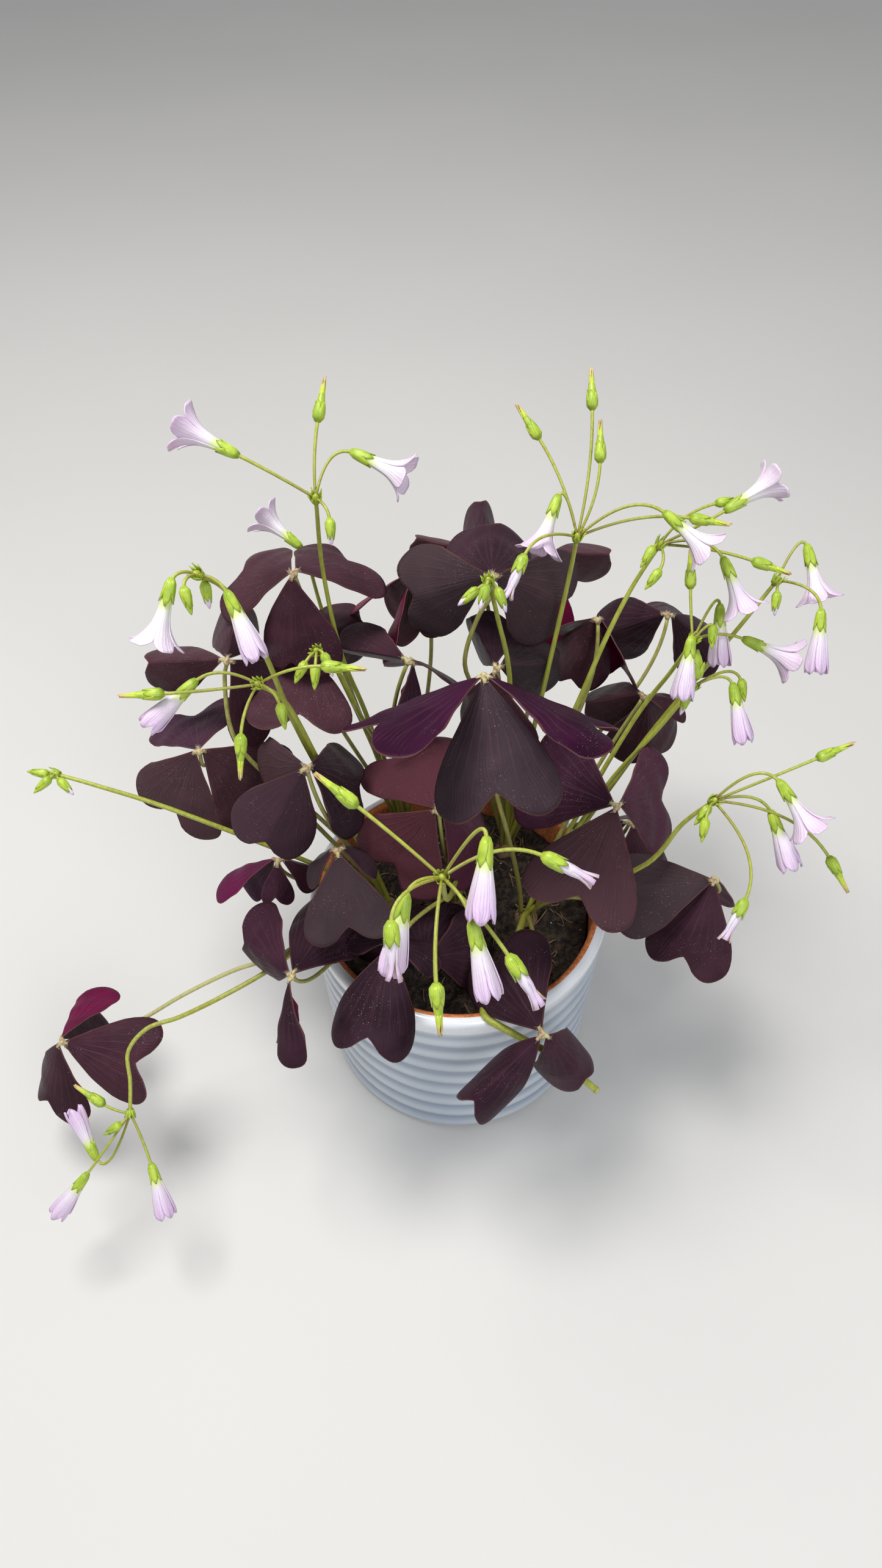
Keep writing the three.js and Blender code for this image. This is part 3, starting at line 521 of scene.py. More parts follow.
def soil_height(x, y):
    waves = math.sin(0.35 * x + 1) * math.cos(0.28 * y) + 0.6 * math.sin(0.8 * x - 0.6 * y)
    spot = Vector((x, y, 0))
    lumps = 1.6 * noise.fractal(spot * 0.22, 0.8, 2.1, 4) + 0.5 * noise.noise(spot * 1.1)
    return SOIL_LEVEL + SOIL_RELIEF * 0.4 * waves + max(-1.6, min(1.6, lumps))


soil = Piece("soil_peat", peat, fibre, grit)
profile = [(0, 10), (54.6, 10), (SOIL_EDGE, 84)]
profile += [(SOIL_EDGE * (1 - k / SOIL_RINGS), SOIL_LEVEL) for k in range(SOIL_RINGS + 1)]
spin_profile(soil, profile, SOIL_STEPS)
for vert in soil.mesh.verts:
    if vert.co.z > 0.09:
        vert.co.z = soil_height(vert.co.x / MM, vert.co.y / MM) * MM
for face in soil.mesh.faces:
    face.smooth = True

# %% Crumbs, grit and fibres
CRUMBS, FIBRES, GRIT_SHARE = 520, 110, 0.13
draw = random.Random(29)
for k in range(CRUMBS):
    r, a = 55 * draw.random() ** 0.5, draw.uniform(0, 2 * math.pi)
    x, y, size = r * math.cos(a), r * math.sin(a), draw.uniform(0.5, 1.5)
    look = 2 if draw.random() < GRIT_SHARE else 0
    size = size * 0.5 if look else size
    flat = (draw.uniform(0.8, 1.5), draw.uniform(0.8, 1.5), 0.8)
    soil.lump(Vector((x, y, soil_height(x, y) + size * 0.2)), size, look, k, flat)
for k in range(FIBRES):
    r, a, bow = 50 * draw.random() ** 0.5, draw.uniform(0, 2 * math.pi), draw.uniform(0, 2 * math.pi)
    way = Vector((math.cos(bow), math.sin(bow), 0)) * draw.uniform(1.5, 5)
    side = Vector((-way.y, way.x, 0)) * draw.uniform(-0.4, 0.4)
    middle = Vector((r * math.cos(a), r * math.sin(a), 0))
    spots = [middle + way * t + side * t * t for t in (-1, -0.5, 0, 0.5, 1)]
    laid = [Vector((s.x, s.y, soil_height(s.x, s.y) + 0.7)) for s in spots]
    soil.tube(laid, draw.uniform(0.12, 0.32), 1, 5)
print("soil faces:", soil.finish("soil", "soil"))

# %% [markdown]
# ## Leaf colours
# The blades are nearly black-purple, some charcoal and some rosy, and wine-red below. Each leaflet
# carries `warm`, `violet` and `gloom`, so that one material serves them all. `along` and `across` run
# from the root to the tip and over the width, and the veins fan out with them.

# %% Blade materials
def veined(look, colours, vein, edge):
    """The blade's colour, its vein lines, and the midrib."""
    along, across, waver = look.number("along"), look.number("across"), look.noise(40, 3) * 0.16
    coarse = ((across + waver + along * 0.12) * 17).sin().abs() ** 14
    fine = ((across + waver * 1.6 - along * 0.1) * 64).sin().abs() ** 6
    patchy = look.noise(120, 2).span(0.35, 0.65)
    lines = (coarse * along.span(0.95, 0.5) + fine * patchy * along.span(0.1, 0.6) * 0.7).least(1)
    midrib = across.abs().span(0.05, 0.0) * along.span(1.0, 0.3)
    slate, rosy, violet = colours
    shade = look.mix(look.mix(slate, rosy, look.number("warm")), violet, look.number("violet"))
    cloud = look.noise(55, 4).span(0.35, 0.68)
    dim = (look.number("gloom") + cloud * 0.3 - 0.15).least(0.9)
    shade = look.mix(shade, (0.006, 0.002, 0.005), dim)
    shade = look.mix(shade, vein, (lines * 0.24 + midrib * 0.4).least(1))
    return look.mix(shade, edge, look.number("rim").span(0.90, 0.99) * 0.45), lines, midrib


blade_top = Look("blade_top", Specular_IOR_Level=0.04, Roughness=0.4)
tones = ((0.046, 0.034, 0.038), (0.104, 0.030, 0.042), (0.062, 0.007, 0.042))
shade, lines, midrib = veined(blade_top, tones, (0.09, 0.045, 0.06), (0.17, 0.065, 0.060))
fleck = blade_top.noise(2600, 0).span(0.78, 0.81) * blade_top.noise(60, 2).span(0.48, 0.6)
blade_top.paint(Base_Color=blade_top.mix(shade, (0.45, 0.40, 0.38), fleck * 0.5))
blade_top.bump(lines * 0.5 + blade_top.noise(300, 3) + blade_top.noise(1500, 3) * 0.35 - midrib, 0.0003)

blade_under = Look("blade_under", Specular_IOR_Level=0.05, Roughness=0.42)
tones = ((0.080, 0.004, 0.026), (0.190, 0.006, 0.048), (0.160, 0.006, 0.075))
shade, lines, midrib = veined(blade_under, tones, (0.05, 0.006, 0.03), (0.22, 0.03, 0.06))
blade_under.paint(Base_Color=shade)
blade_under.bump(lines * 0.6 + midrib * 2 + blade_under.noise(500, 2) * 0.5, 0.00025)

blade_edge = Look("blade_edge", Roughness=0.5)
cloud = blade_edge.noise(200)
blade_edge.paint(Base_Color=blade_edge.mix((0.07, 0.02, 0.03), (0.17, 0.07, 0.06), cloud))
print("blade looks ready")

# %% Star and hair materials
star = Look("star", Roughness=0.6)
blotch = star.noise(700, 2).span(0.42, 0.62)
star.paint(Base_Color=star.mix((0.50, 0.44, 0.20), (0.30, 0.17, 0.11), blotch))
star.bump(star.noise(1400, 2), 0.0002)

hair = Look("hair", Roughness=0.5)
hair.paint(Base_Color=hair.mix((0.78, 0.74, 0.62), (0.58, 0.52, 0.38), hair.noise(900)))
print("star looks ready")

# %% [markdown]
# ## Each leaflet's tone
# The colours differ from leaf to leaf, and in some leaflets the wine-red underside is turned up. The
# numbers are warm, violet and gloom, and a fourth one, 1, for a leaflet that is turned.

# %% Tones of the three leaflets, leaf by leaf
TONES = {
    "leaf_centre": [(0.0, 0.1, 0.1), (0.1, 0.9, 0.5), (0.1, 0.95, 0.65)],
    "leaf_centre_behind": [(0.0, 0.05, 0.1), (0.2, 0.3, 0.3), (0.4, 0.2, 0.3)],
    "leaf_top": [(0.1, 0.0, 0.0), (0.15, 0.0, 0.05), (0.3, 0.2, 0.4)],
    "leaf_back_top": [(0.55, 0.0, 0.15), (0.4, 0.3, 0.3), (0.5, 0.1, 0.3)],
    "leaf_back_right": [(0.55, 0.0, -0.1), (0.5, 0.1, 0.1), (0.6, 0.0, 0.2, 1)],
    "leaf_right_high": [(0.6, 0.1, 0.25), (0.7, 0.0, 0.1, 1), (0.4, 0.0, 0.5)],
    "leaf_right_far": [(0.3, 0.2, 0.55), (0.3, 0.2, 0.6), (0.4, 0.1, 0.5)],
    "leaf_right_middle": [(0.6, 0.0, 0.3), (0.5, 0.1, 0.3), (0.4, 0.1, 0.4)],
    "leaf_right_low": [(0.3, 0.5, 0.6), (0.4, 0.0, 0.0), (0.5, 0.4, 0.0)],
    "leaf_right_out": [(0.1, 0.0, 0.0), (0.8, 0.3, 0.0, 1), (0.4, 0.2, 0.3)],
    "leaf_right_hanging": [(0.5, 0.1, 0.35), (0.3, 0.2, 0.5), (0.3, 0.2, 0.5)],
    "leaf_left_front": [(0.85, 0.05, -0.2), (0.9, 0.0, -0.25), (0.8, 0.4, -0.1)],
    "leaf_left_middle": [(0.15, 0.2, -0.3), (0.1, 0.1, 0.4), (0.3, 0.0, -0.15)],
    "leaf_left_wide": [(0.45, 0.0, -0.3), (0.35, 0.0, -0.3), (0.1, 0.5, 0.0)],
    "leaf_left_below": [(0.1, 0.0, 0.05), (0.1, 0.2, 0.3), (0.1, 0.1, 0.1)],
    "leaf_front_left": [(0.2, 0.3, 0.55), (0.4, 0.4, 0.3), (0.3, 0.3, 0.5)],
    "leaf_front_hanging": [(0.15, 0.25, 0.55), (0.2, 0.2, 0.6), (0.2, 0.2, 0.6)],
    "leaf_front_middle": [(0.3, 0.2, 0.5), (0.3, 0.2, 0.55), (0.2, 0.3, 0.6)],
    "leaf_front_right": [(0.3, 0.2, 0.55), (0.3, 0.35, 0.45), (0.5, 0.3, 0.4)],
    "leaf_left_top": [(0.5, 0.1, 0.15), (0.5, 0.15, 0.2), (0.5, 0.2, 0.15)],
    "leaf_left_back": [(0.5, 0.2, 0.35), (0.6, 0.1, 0.2), (0.5, 0.2, 0.25)],
    "leaf_left_centre": [(0.5, 0.1, 0.25), (0.4, 0.1, 0.3), (0.5, 0.2, 0.3)],
    "leaf_back_middle": [(0.3, 0.3, 0.4), (0.4, 0.2, 0.35), (0.3, 0.3, 0.4)],
    "leaf_back_left": [(0.8, 0.1, 0.0, 1), (0.8, 0.1, 0.1, 1), (0.4, 0.2, 0.3)],
    "leaf_left_low": [(0.4, 0.8, 0.35, 1), (0.5, 0.3, 0.3), (0.4, 0.4, 0.3)],
    "leaf_fallen": [(0.5, 0.2, 0.3), (0.7, 0.3, 0.2, 1), (0.5, 0.2, 0.4)],
}
print("leaves with tones:", len(TONES))

# %% [markdown]
# ## Leaflet shape
# A leaflet is a heart that is widest near its end. Its grid fans out from the root: `u` turns off the
# midrib and `v` runs to the edge, both closer together near the edge. The fold gives the two halves
# their tilt, each half curls further down on an arc, and small waves keep it from looking pressed.

# %% The outline and a leaf's axes
# Pairs of an angle off the midrib, in degrees, and the edge's distance in leaflet lengths.
OUTLINE = [(0, 1.0), (4, 1.055), (9, 1.17), (17, 1.27), (25, 1.255), (31, 1.17), (35, 0.995),
           (37, 0.80)]
ROOT_OUT, BLADE_ROOT, BLADE_THICKNESS = 1.8, 1.1, 0.45
HALF_ANGLE, RIM_WIDTH, BLADE_GRID = 37, 8, (34, 16)
CURL = (0.5, 0.5, 0.5)
CURLS = {"leaf_front_right": (0.9, 1.6, 1.8), "leaf_front_hanging": (1.6, 1.0, 1.0),
         "leaf_front_middle": (1.0, 1.2, 0.8), "leaf_front_left": (1.0, 1.2, 1.2),
         "leaf_fallen": (1.3, 0.9, 1.2)}


def leaflet_frame(heading, dip, roll):
    along = axis_of(heading, dip)
    flat = Vector((-math.sin(math.radians(heading)), math.cos(math.radians(heading)), 0))
    across = Matrix.Rotation(math.radians(roll), 3, along) @ flat
    return along, across, along.cross(across)


def leaf_axis(leaf):
    ups = (leaflet_frame(pose[0], pose[1], 0)[2] for pose in leaf["leaflets"])
    return sum(ups, Vector()).normalized()


print("axis of the first leaf:", leaf_axis(LEAVES[0]))

# %% One leaflet
def leaflet(piece, root, pose, length, tone, curl, draw):
    along, across, up = leaflet_frame(*pose[:3])
    lean, phase, sway = math.radians(pose[3]), draw.uniform(0, 6.3), draw.uniform(-1, 1)
    bend = curl / length
    warm, violet, gloom, turned = (*tone, 0)[:4]

    def shape(u, v):
        angle, s = HALF_ANGLE * (1.25 * u - 0.25 * u**3), v * (1.35 - 0.35 * v)
        edge, a = length * level(OUTLINE, min(HALF_ANGLE, abs(angle))), math.radians(angle)
        r = lerp(BLADE_ROOT, edge, s)
        b = r * math.sin(a)
        wave = 0.55 * math.sin(a * 11 + phase) * s**3 + 0.35 * math.sin(r * 0.45 + a * 5 + phase) * s
        droop = length * 0.035 * s * s * (1 + 0.4 * sway * math.sin(a * 2.4))
        side = math.copysign(math.sin(lean + bend * abs(b)) - math.sin(lean), b) / bend
        drop = (math.cos(lean) - math.cos(lean + bend * (math.sqrt(b * b + 0.4) - 0.63))) / bend
        gap = min((1 - s) * edge, r * math.sin(math.radians(HALF_ANGLE) - abs(a)))
        point = root + along * (r * math.cos(a)) + across * side + up * (0.2 + wave - droop - drop)
        return point, {"along": s, "across": u, "rim": max(0, 1 - gap / RIM_WIDTH)}

    looks = (1, 0, 2) if turned else (0, 1, 2)
    piece.sheet(*BLADE_GRID, shape, BLADE_THICKNESS, looks, warm=warm, violet=violet, gloom=gloom)


# %% [markdown]
# ## Leaves
# Three leaflets meet in a small hairy star on the petiole's end. Each arm of the star is a short tube,
# and its hairs are the thinnest tubes of all.

# %% A leaf
STAR, HAIR, HAIRS = 3, 4, 22


def arm(piece, hub, axis, outward, reach, across, draw):
    line = [hub - axis * 1.2, hub - axis * 0.2 + outward * 0.6, hub + outward * 1.9, reach]
    piece.tube(line, [1.0, 1.05, 0.85, 0.55], STAR, 8)
    for _ in range(HAIRS):
        start = hub.lerp(reach, draw.random())
        away = axis * draw.uniform(-0.2, 1) + across * draw.uniform(-1, 1)
        away = (away + outward * draw.uniform(-0.2, 0.7)).normalized()
        tip = start + away * draw.uniform(1.4, 2.1)
        line = [start + away * 0.4, start.lerp(tip, 0.6) + UP * 0.1, tip]
        piece.tube(line, [0.06, 0.04, 0.015], HAIR, 3)


def leaf_piece(number, leaf):
    draw = random.Random(number)
    piece = Piece("fine_" + leaf["name"], blade_top, blade_under, blade_edge, star, hair)
    hub, axis = Vector(leaf["hub"]), leaf_axis(leaf)
    curls = CURLS.get(leaf["name"], CURL)
    for tone, curl, pose in zip(TONES[leaf["name"]], curls, leaf["leaflets"]):
        along, across, up = leaflet_frame(*pose[:3])
        outward = (along - axis * along.dot(axis)).normalized()
        root = hub + outward * ROOT_OUT - along * BLADE_ROOT
        length = leaf["length"] * (pose[4] if len(pose) > 4 else 1)
        leaflet(piece, root, pose, length, tone, curl, draw)
        arm(piece, hub, axis, outward, root + along * 2.6 + up * 0.1, across, draw)
    piece.tube([hub + axis * z for z in (-1.6, -0.6, 0.5, 1.0)], [1.0, 1.4, 1.1, 0.4], STAR, 10)
    return piece.finish("blade", leaf["name"])


print("leaf faces:", sum(leaf_piece(number, leaf) for number, leaf in enumerate(LEAVES)))

# %% [markdown]
# ## Stalk, sepal and petal colours
# Stalks are yellow-green and flush brown at the foot. Sepals are lime green with darker tips. Petals
# are pale lilac, whiter towards the yellow-green throat, with fine darker lines.

# %% Stalk materials
def stalk_look(name, low, high, flush):
    look = Look(name, Roughness=0.42, Coat_Weight=0.12, Coat_Roughness=0.3)
    along, streak = look.number("along"), look.noise(160, 3, stretch=(5, 5, 0.6))
    blend = (streak.span(0.3, 0.7) * 0.5 + along * 0.5 + look.number("tint") * 0.25 - 0.1).least(1)
    foot = along.span(0.45, 0.0) * streak.span(0.45, 0.65) * 0.7
    look.paint(Base_Color=look.mix(look.mix(low, high, blend), flush, foot))
    look.bump(streak, 0.0002)
    return look


petiole = stalk_look("petiole", (0.16, 0.15, 0.026), (0.36, 0.35, 0.09), (0.11, 0.04, 0.028))
scape = stalk_look("scape", (0.23, 0.22, 0.022), (0.40, 0.45, 0.06), (0.16, 0.07, 0.02))
pale_petiole = stalk_look("pale_petiole", (0.33, 0.33, 0.10), (0.50, 0.48, 0.22), (0.22, 0.15, 0.06))
print("stalk looks ready")

# %% Flower materials
sepal = Look("sepal", Roughness=0.42, Coat_Weight=0.1)
along, across = sepal.number("along"), sepal.number("across")
blend = sepal.noise(260, 2).span(0.35, 0.65) * 0.6 + along * 0.3
ribs = ((across * 9).sin().abs() ** 6) * 0.22
green = sepal.mix(sepal.mix((0.24, 0.38, 0.016), (0.47, 0.60, 0.045), blend), (0.66, 0.74, 0.18), ribs)
sepal.paint(Base_Color=sepal.mix(green, (0.32, 0.10, 0.05), along.span(0.93, 0.99) * 0.45))
sepal.bump(ribs, 0.00015)

petal = Look("petal", Roughness=0.5, Subsurface_Weight=0.15, Subsurface_Scale=0.001)
along, across, tint = petal.number("along"), petal.number("across"), petal.number("tint")
waver = petal.noise(260, 2) * 0.3
stripe = (((across + waver) * 10).sin().abs() ** 8) * along.span(0.25, 0.6)
blush = (along.span(0.35, 0.95) * 0.55 + tint * 0.5 + petal.noise(180, 2) * 0.2 - 0.1).least(1)
lilac = petal.mix((0.78, 0.73, 0.77), (0.68, 0.50, 0.72), blush)
lilac = petal.mix(lilac, (0.54, 0.31, 0.60), stripe * (tint * 0.3 + 0.08))
petal.paint(Base_Color=petal.mix(lilac, (0.62, 0.72, 0.26), along.span(0.36, 0.14)))
petal.bump(stripe * 0.4 + petal.noise(420, 2), 0.00015)

dry = Look("dry", Roughness=0.7)
tan = dry.mix((0.66, 0.52, 0.20), (0.46, 0.30, 0.12), dry.noise(400, 3).span(0.35, 0.65))
dry.paint(Base_Color=dry.mix((0.50, 0.60, 0.06), tan, dry.number("along").span(0.25, 0.9)))
dry.bump(dry.noise(900, 2), 0.0003)

anther = Look("anther", Roughness=0.6)
anther.paint(Base_Color=anther.mix((0.75, 0.62, 0.08), (0.55, 0.62, 0.12), anther.noise(1200)))
print("flower looks ready")

# %% [markdown]
# ## Petals and sepals
# Flower parts stand round an axis, so they are shaped upright and turned into place. `blade` wraps one
# sheet round the axis: its radius and height follow profiles from the base to the tip.

# %% A part round an axis
class Stand:
    def __init__(self, base, axis):
        self.base, self.turn = base, UP.rotation_difference(axis)

    def at(self, radius, angle, z):
        return self.base + self.turn @ Vector((radius * math.cos(angle), radius * math.sin(angle), z))

    def column(self, heights):
        return [self.at(0, 0, z) for z in heights]


PETALS, PETAL_THICKNESS = 5, 0.3


def blade(piece, stand, turn, radii, heights, width, looks, reach=lambda u: 1, grid=(4, 4),
          swirl=0, twist=0, wave=0, **values):
    def shape(u, v):
        t = v * reach(u)
        radius = level(radii, t) + swirl * u * t + wave * math.sin(4.5 * u + 9 * turn) * t**3
        point = stand.at(radius, turn + width(t) * u + twist * t, level(heights, t))
        return point, {"along": v, "across": u}

    piece.sheet(*grid, shape, PETAL_THICKNESS, looks, **values)


def sepals(piece, stand, draw, length, belly, mouth):
    for part in range(PETALS):
        long = length * draw.uniform(0.9, 1.05)
        radii = [(0, 0.8), (0.3, belly), (0.7, (belly + mouth) / 2), (1, mouth)]
        heights = [(0, -0.3), (0.3, long * 0.22), (0.7, long * 0.68), (1, long)]
        blade(piece, stand, math.tau * (part + 0.5) / PETALS + draw.uniform(-0.1, 0.1), radii, heights,
              lambda t: 0.9 * (1 - min(1, t) ** 3) + 0.05, (SEPAL,) * 3, tint=draw.random())
    piece.tube(stand.column((-0.6, 0.2, 1.2)), [0.8, 1.3, 1.0], SEPAL, 8)


PETIOLE, SCAPE, PALE, SEPAL, PETAL, DRY, HUSK = range(7)
print("slots of a stalk piece:", HUSK + 1)

# %% Corollas
def corolla(name, kind, base, axis, draw):
    piece = Piece("fine_" + name, petal, anther)
    stand, tint = Stand(base + axis * 6.3, axis), draw.uniform(0, 0.45)
    if kind == "open":
        radii = [(0, 1.2), (0.3, 2.0), (0.52, 3.2), (0.76, 6.2), (1, 9.5)]
        heights = [(0, -2.5), (0.3, 4.5), (0.52, 9), (0.76, 13.2), (1, 15.4)]
        width = lambda t: math.pi / PETALS * (1.05 + 0.1 * t - 0.42 * max(0, t - 0.62) / 0.38)
        reach = lambda u: 1 - 0.26 * abs(u) ** 2.4 - 0.05 * max(0, math.cos(3 * u))
    else:
        tint += 0.4
        radii = [(0, 1.2), (0.3, 2.3), (0.6, 3.3), (0.85, 3.8), (1, 3.5)]
        heights = [(0, -2.5), (0.3, 3.5), (0.6, 9.5), (0.85, 14.2), (1, 17)]
        width = lambda t: math.pi / PETALS * (1.1 + 0.15 * t - 0.5 * max(0, t - 0.7) / 0.3)
        reach = lambda u: 1 - 0.15 * abs(u) ** 2.5
    for part in range(PETALS):
        lean, own = draw.uniform(-0.4, 0.4), min(1, max(0, tint + draw.uniform(-0.1, 0.1)))
        leant = [(t, r + lean * t) for t, r in radii]
        blade(piece, stand, math.tau * part / PETALS, leant, heights, width, (0, 0, 0), reach, (10, 14),
              swirl=0.45, twist=0.08, wave=0.35, tint=own)
    for k in range(PETALS):
        turn, top = math.tau * (k + 0.5) / PETALS, (8.5, 10.2)[k % 2]
        filament = [stand.at(0.5, turn, 1), stand.at(0.8, turn, top * 0.6), stand.at(1.1, turn, top)]
        piece.tube(filament, 0.22, 1, 5)
        piece.tube([stand.at(1.1, turn, top + z) for z in (-0.7, 0, 0.7)], [0.3, 0.55, 0.25], 1, 6)
    return piece.finish("petal", name)


def flowers_of(umbel):
    hub, rows = Vector(umbel["hub"]), umbel["flowers"]
    return [(kind, hub + Vector(offset), axis_of(heading, dip)) for kind, offset, heading, dip in rows]


count = 0
for number, umbel in enumerate(UMBELS):
    blooms = [flower for flower in flowers_of(umbel) if flower[0] in ("open", "half")]
    for k, flower in enumerate(blooms):
        count += corolla(f"flower_{umbel['name']}_{k + 1}", *flower, random.Random(100 * number + k))
print("corolla faces:", count)

# %% [markdown]
# ## Buds, calyces and fruits
# What is green on a pedicel differs: a calyx under an open flower, a closed bud, a slim spent flower
# with a dry tip, a swollen capsule, or a withered flower whose petals are twisted together.

# %% The green bodies
def withered_petals(piece, stand, draw, count, radii, heights, look):
    for part in range(count):
        own = [(t, z * draw.uniform(0.93, 1)) for t, z in heights]
        blade(piece, stand, math.tau * part / count, radii, own, lambda t: 0.9 * (1 - 0.6 * t * t),
              (look, look, DRY), grid=(3, 6), twist=draw.uniform(0.6, 1.3), tint=draw.random())


def green_body(piece, kind, base, axis, draw):
    stand = Stand(base, axis)
    if kind == "bud":
        sepals(piece, stand, draw, 6.4, 1.6, 0.9)
        tip = PETAL if draw.random() < 0.5 else SEPAL
        line = stand.column((1, 3, 5, 6.6, 7.6, 8.4))
        piece.tube(line, [1.0, 1.3, 1.2, 0.95, 0.6, 0.2], tip, 8, tint=0.2)
    elif kind == "fat":
        sepals(piece, stand, draw, 6.2, 2.6, 3.0)
        line = stand.column((0.5, 2.2, 4, 6, 8, 9.6, 11))
        piece.tube(line, [1.2, 2.3, 2.7, 2.5, 1.9, 1.2, 0.7], SEPAL, 10)
    elif kind == "fruit":
        sepals(piece, stand, draw, 6.6, 1.9, 1.5)
        piece.tube(stand.column((1, 3, 5, 7, 9, 11)), [1.2, 1.7, 1.7, 1.4, 1.1, 0.8], SEPAL, 8)
        radii, heights = [(0, 0.85), (0.5, 0.6), (1, 0.35)], [(0, 8.5), (0.5, 12), (1, 15)]
        withered_petals(piece, stand, draw, 4, radii, heights, DRY)
    elif kind == "withered":
        sepals(piece, stand, draw, 7.2, 1.9, 2.1)
        radii = [(0, 1.2), (0.45, 1.5), (0.7, 1.2), (1, 2.3)]
        heights = [(0, 1), (0.45, 9), (0.7, 13), (1, 17)]
        withered_petals(piece, stand, draw, PETALS, radii, heights, PETAL)
    else:
        sepals(piece, stand, draw, 8.0, 1.6, 2.2)


# %% [markdown]
# ## Stalks
# Petioles and scapes rise from a crown of dry scales in the soil. A scape ends in a small head with
# bracts, and its pedicels carry the flowers. Curves give the bows, and each stalk tapers a little.

# %% Where stalks run
STALK_FOOT, STALK_RISE = 87, 9


def petiole_curve(leaf):
    (cx, cy), hub, axis = CROWNS[leaf["crown"]], Vector(leaf["hub"]), leaf_axis(leaf)
    away = Vector((hub.x - cx, hub.y - cy)).normalized() * 2.2
    foot, end = Vector((cx + away.x, cy + away.y, STALK_FOOT)), hub - axis * 1.6
    if "path" in leaf:
        return spline([foot, foot + UP * STALK_RISE, *leaf["path"], end - axis * 6, end])
    bend = 0.35 * (foot - end).length
    return bezier([foot, foot + UP * bend, end - axis * bend, end], 32)


def taper(curve, low, high):
    return [lerp(low, high, k / (len(curve) - 1)) for k in range(len(curve))]


STUBS = {"right": [[22, -26, 98], [14, -46, 103], [9, -61, 108.8], [20, -69, 108], [36, -74, 99],
                   [54, -82, 84]]}


def stub_parts(piece, crown):
    """The old stalk that was cut off beyond the rim, its end dried and rounded."""
    foot = Vector((*CROWNS[crown], STALK_FOOT))
    curve = spline([foot, foot + UP * STALK_RISE, *STUBS[crown]])
    piece.tube(curve, taper(curve, 1.7, 1.45), SCAPE, 12, tint=0.4)
    way = (curve[-1] - curve[-2]).normalized()
    piece.tube([curve[-1] + way * z for z in (-0.8, 0, 0.7, 1.1)], [1.5, 1.62, 1.3, 0.5], PALE, 12)


# %% An umbel and a crown
BRACTS, SCALES = 9, 11


def umbel_parts(piece, umbel, draw):
    hub, foot = Vector(umbel["hub"]), Vector((*CROWNS[umbel["crown"]], STALK_FOOT))
    path = spline([foot, foot + UP * STALK_RISE, *reversed(umbel["path"]), hub])
    piece.tube(path, taper(path, 1.25, 0.75), SCAPE, 10, tint=draw.random())
    way = (path[-1] - path[-2]).normalized()
    head = [hub + way * z for z in (-2.6, -1.2, 0.2, 1.4, 2.0)]
    piece.tube(head, [0.75, 1.15, 1.35, 0.8, 0.2], SCAPE, 10, tint=1)
    for part in range(BRACTS):
        radii = [(0, 1.2), (0.5, 1.8), (1, draw.uniform(1.6, 2.8))]
        heights = [(0, -0.9), (0.5, 0.9), (1, draw.uniform(2.4, 3.8))]
        blade(piece, Stand(hub - way * 0.8, way), math.tau * part / BRACTS, radii, heights,
              lambda t: 0.42 * (1 - min(1, t) ** 1.6) + 0.03, (SEPAL,) * 3, grid=(2, 3), tint=0.2)
    for kind, base, axis in flowers_of(umbel):
        bow = base - axis * (0.45 * (hub - base).length)
        start = hub.lerp(bow, 0.6 / (hub - bow).length)
        curve = bezier([start, bow, base + axis * 1.5], 14)
        piece.tube(curve, taper(curve, 0.5, 0.62), SCAPE, 8, tint=0.9)
        green_body(piece, kind, base, axis, draw)


def crown_piece(crown):
    draw, middle = random.Random(crown), Vector((*CROWNS[crown], SOIL_LEVEL))
    piece = Piece("fine_stalks_" + crown, petiole, scape, pale_petiole, sepal, petal, dry, fibre)
    piece.tube([middle + UP * z for z in (-9, -3, 1, 3, 4.5)], [5.5, 5.4, 4.4, 3.0, 1.2], HUSK, 12)
    for part in range(SCALES):
        turn = math.tau * part / SCALES + draw.uniform(-0.2, 0.2)
        radii = [(0, 5.3), (0.4, 4.9), (0.8, 3.6), (1, 3.4)]
        heights = [(0, -4), (0.4, 0.5), (0.8, 3.5), (1, draw.uniform(4.2, 6.2))]
        blade(piece, Stand(middle, UP), turn, radii, heights,
              lambda t: 0.5 * (1 - min(1, t) ** 1.6) + 0.03, (HUSK,) * 3, grid=(2, 4))
    for leaf in LEAVES:
        if leaf["crown"] == crown:
            curve = petiole_curve(leaf)
            look = PALE if leaf["name"] == "leaf_fallen" else PETIOLE
            piece.tube(curve, taper(curve, 1.1, 0.8), look, 9, tint=draw.random())
    for umbel in UMBELS:
        if umbel["crown"] == crown:
            umbel_parts(piece, umbel, draw)
    if crown in STUBS:
        stub_parts(piece, crown)
    return piece.finish("stalk", "stalks_" + crown)


print("stalk faces:", {crown: crown_piece(crown) for crown in CROWNS})

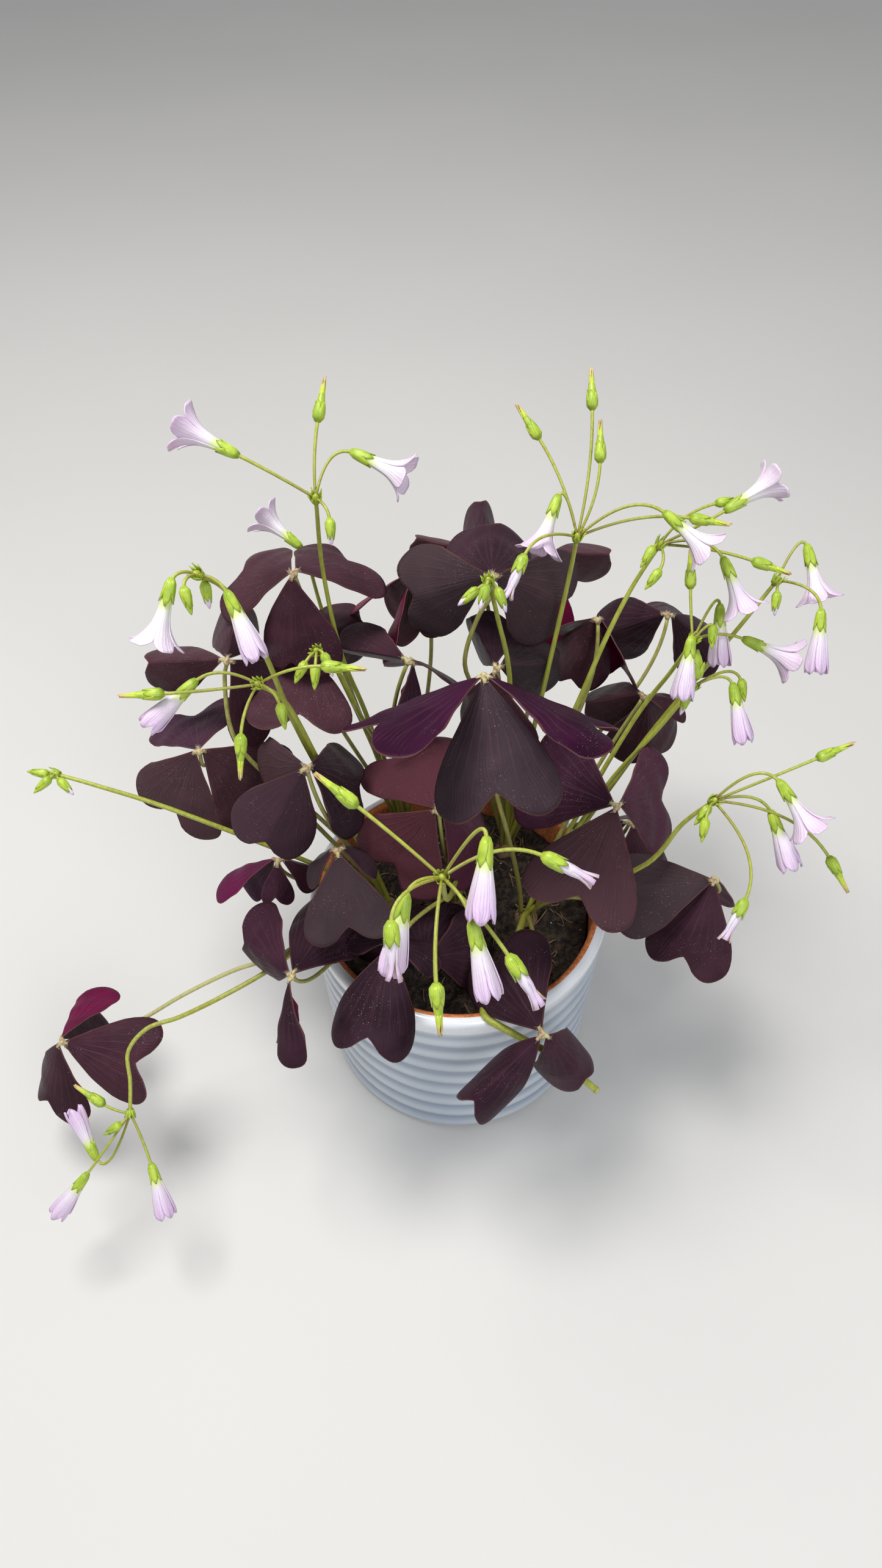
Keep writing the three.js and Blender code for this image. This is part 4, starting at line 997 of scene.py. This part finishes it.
# %% [markdown]
# ## Floor, light and camera
# A plain pale floor and two large soft lamps keep to a quiet studio. The camera stands where the viewer
# stood: a little above the plant, looking down.

# %% Stage
FLOOR_SIZE, AIM, DAYLIGHT = 6, Vector((0, 0, 0.15)), 0.38
pale = Look("pale_floor", Roughness=0.8)
pale.paint(Base_Color=pale.mix((0.60, 0.59, 0.57), (0.66, 0.65, 0.63), pale.noise(3, 2)))
ground = bmesh.new()
bmesh.ops.create_grid(ground, x_segments=2, y_segments=2, size=FLOOR_SIZE)
floor_mesh = bpy.data.meshes.new("floor")
ground.to_mesh(floor_mesh)
ground.free()
floor_mesh.materials.append(pale.material)
floor = bpy.data.objects.new("floor", floor_mesh)
bpy.context.scene.collection.objects.link(floor)


def lamp(name, place, size, power, colour):
    data = bpy.data.lights.new(name, "AREA")
    data.shape, data.size, data.energy, data.color = "DISK", size, power, colour
    made = bpy.data.objects.new(name, data)
    made.location = place
    made.rotation_euler = (AIM - Vector(place)).to_track_quat("-Z", "Y").to_euler()
    bpy.context.scene.collection.objects.link(made)


lamp("key", (-0.35, 0.1, 1.35), 0.6, 16, (1, 0.985, 0.96))
lamp("window", (0.4, -0.9, 1.0), 0.8, 7, (0.93, 0.96, 1))
world = bpy.data.worlds.new("studio")
world.use_nodes = True
world.node_tree.nodes["Background"].inputs[0].default_value = (0.94, 0.96, 1, 1)
world.node_tree.nodes["Background"].inputs[1].default_value = DAYLIGHT
bpy.context.scene.world = world
bpy.context.scene.view_settings.view_transform = "Standard"
print("lamps:", 2)

# %% Camera
LENS, TILT, ROLL = 24.97, 49.37, -0.72
view = bpy.data.cameras.new("camera")
view.sensor_fit, view.sensor_height, view.lens, view.clip_start = "VERTICAL", 36, LENS, 0.01
camera = bpy.data.objects.new("camera", view)
camera.location = (-0.007, -0.273, 0.497)
turn = Matrix.Rotation(math.radians(90 - TILT), 4, "X") @ Matrix.Rotation(math.radians(ROLL), 4, "Z")
camera.rotation_euler = turn.to_euler()
bpy.context.scene.collection.objects.link(camera)
bpy.context.scene.camera = camera
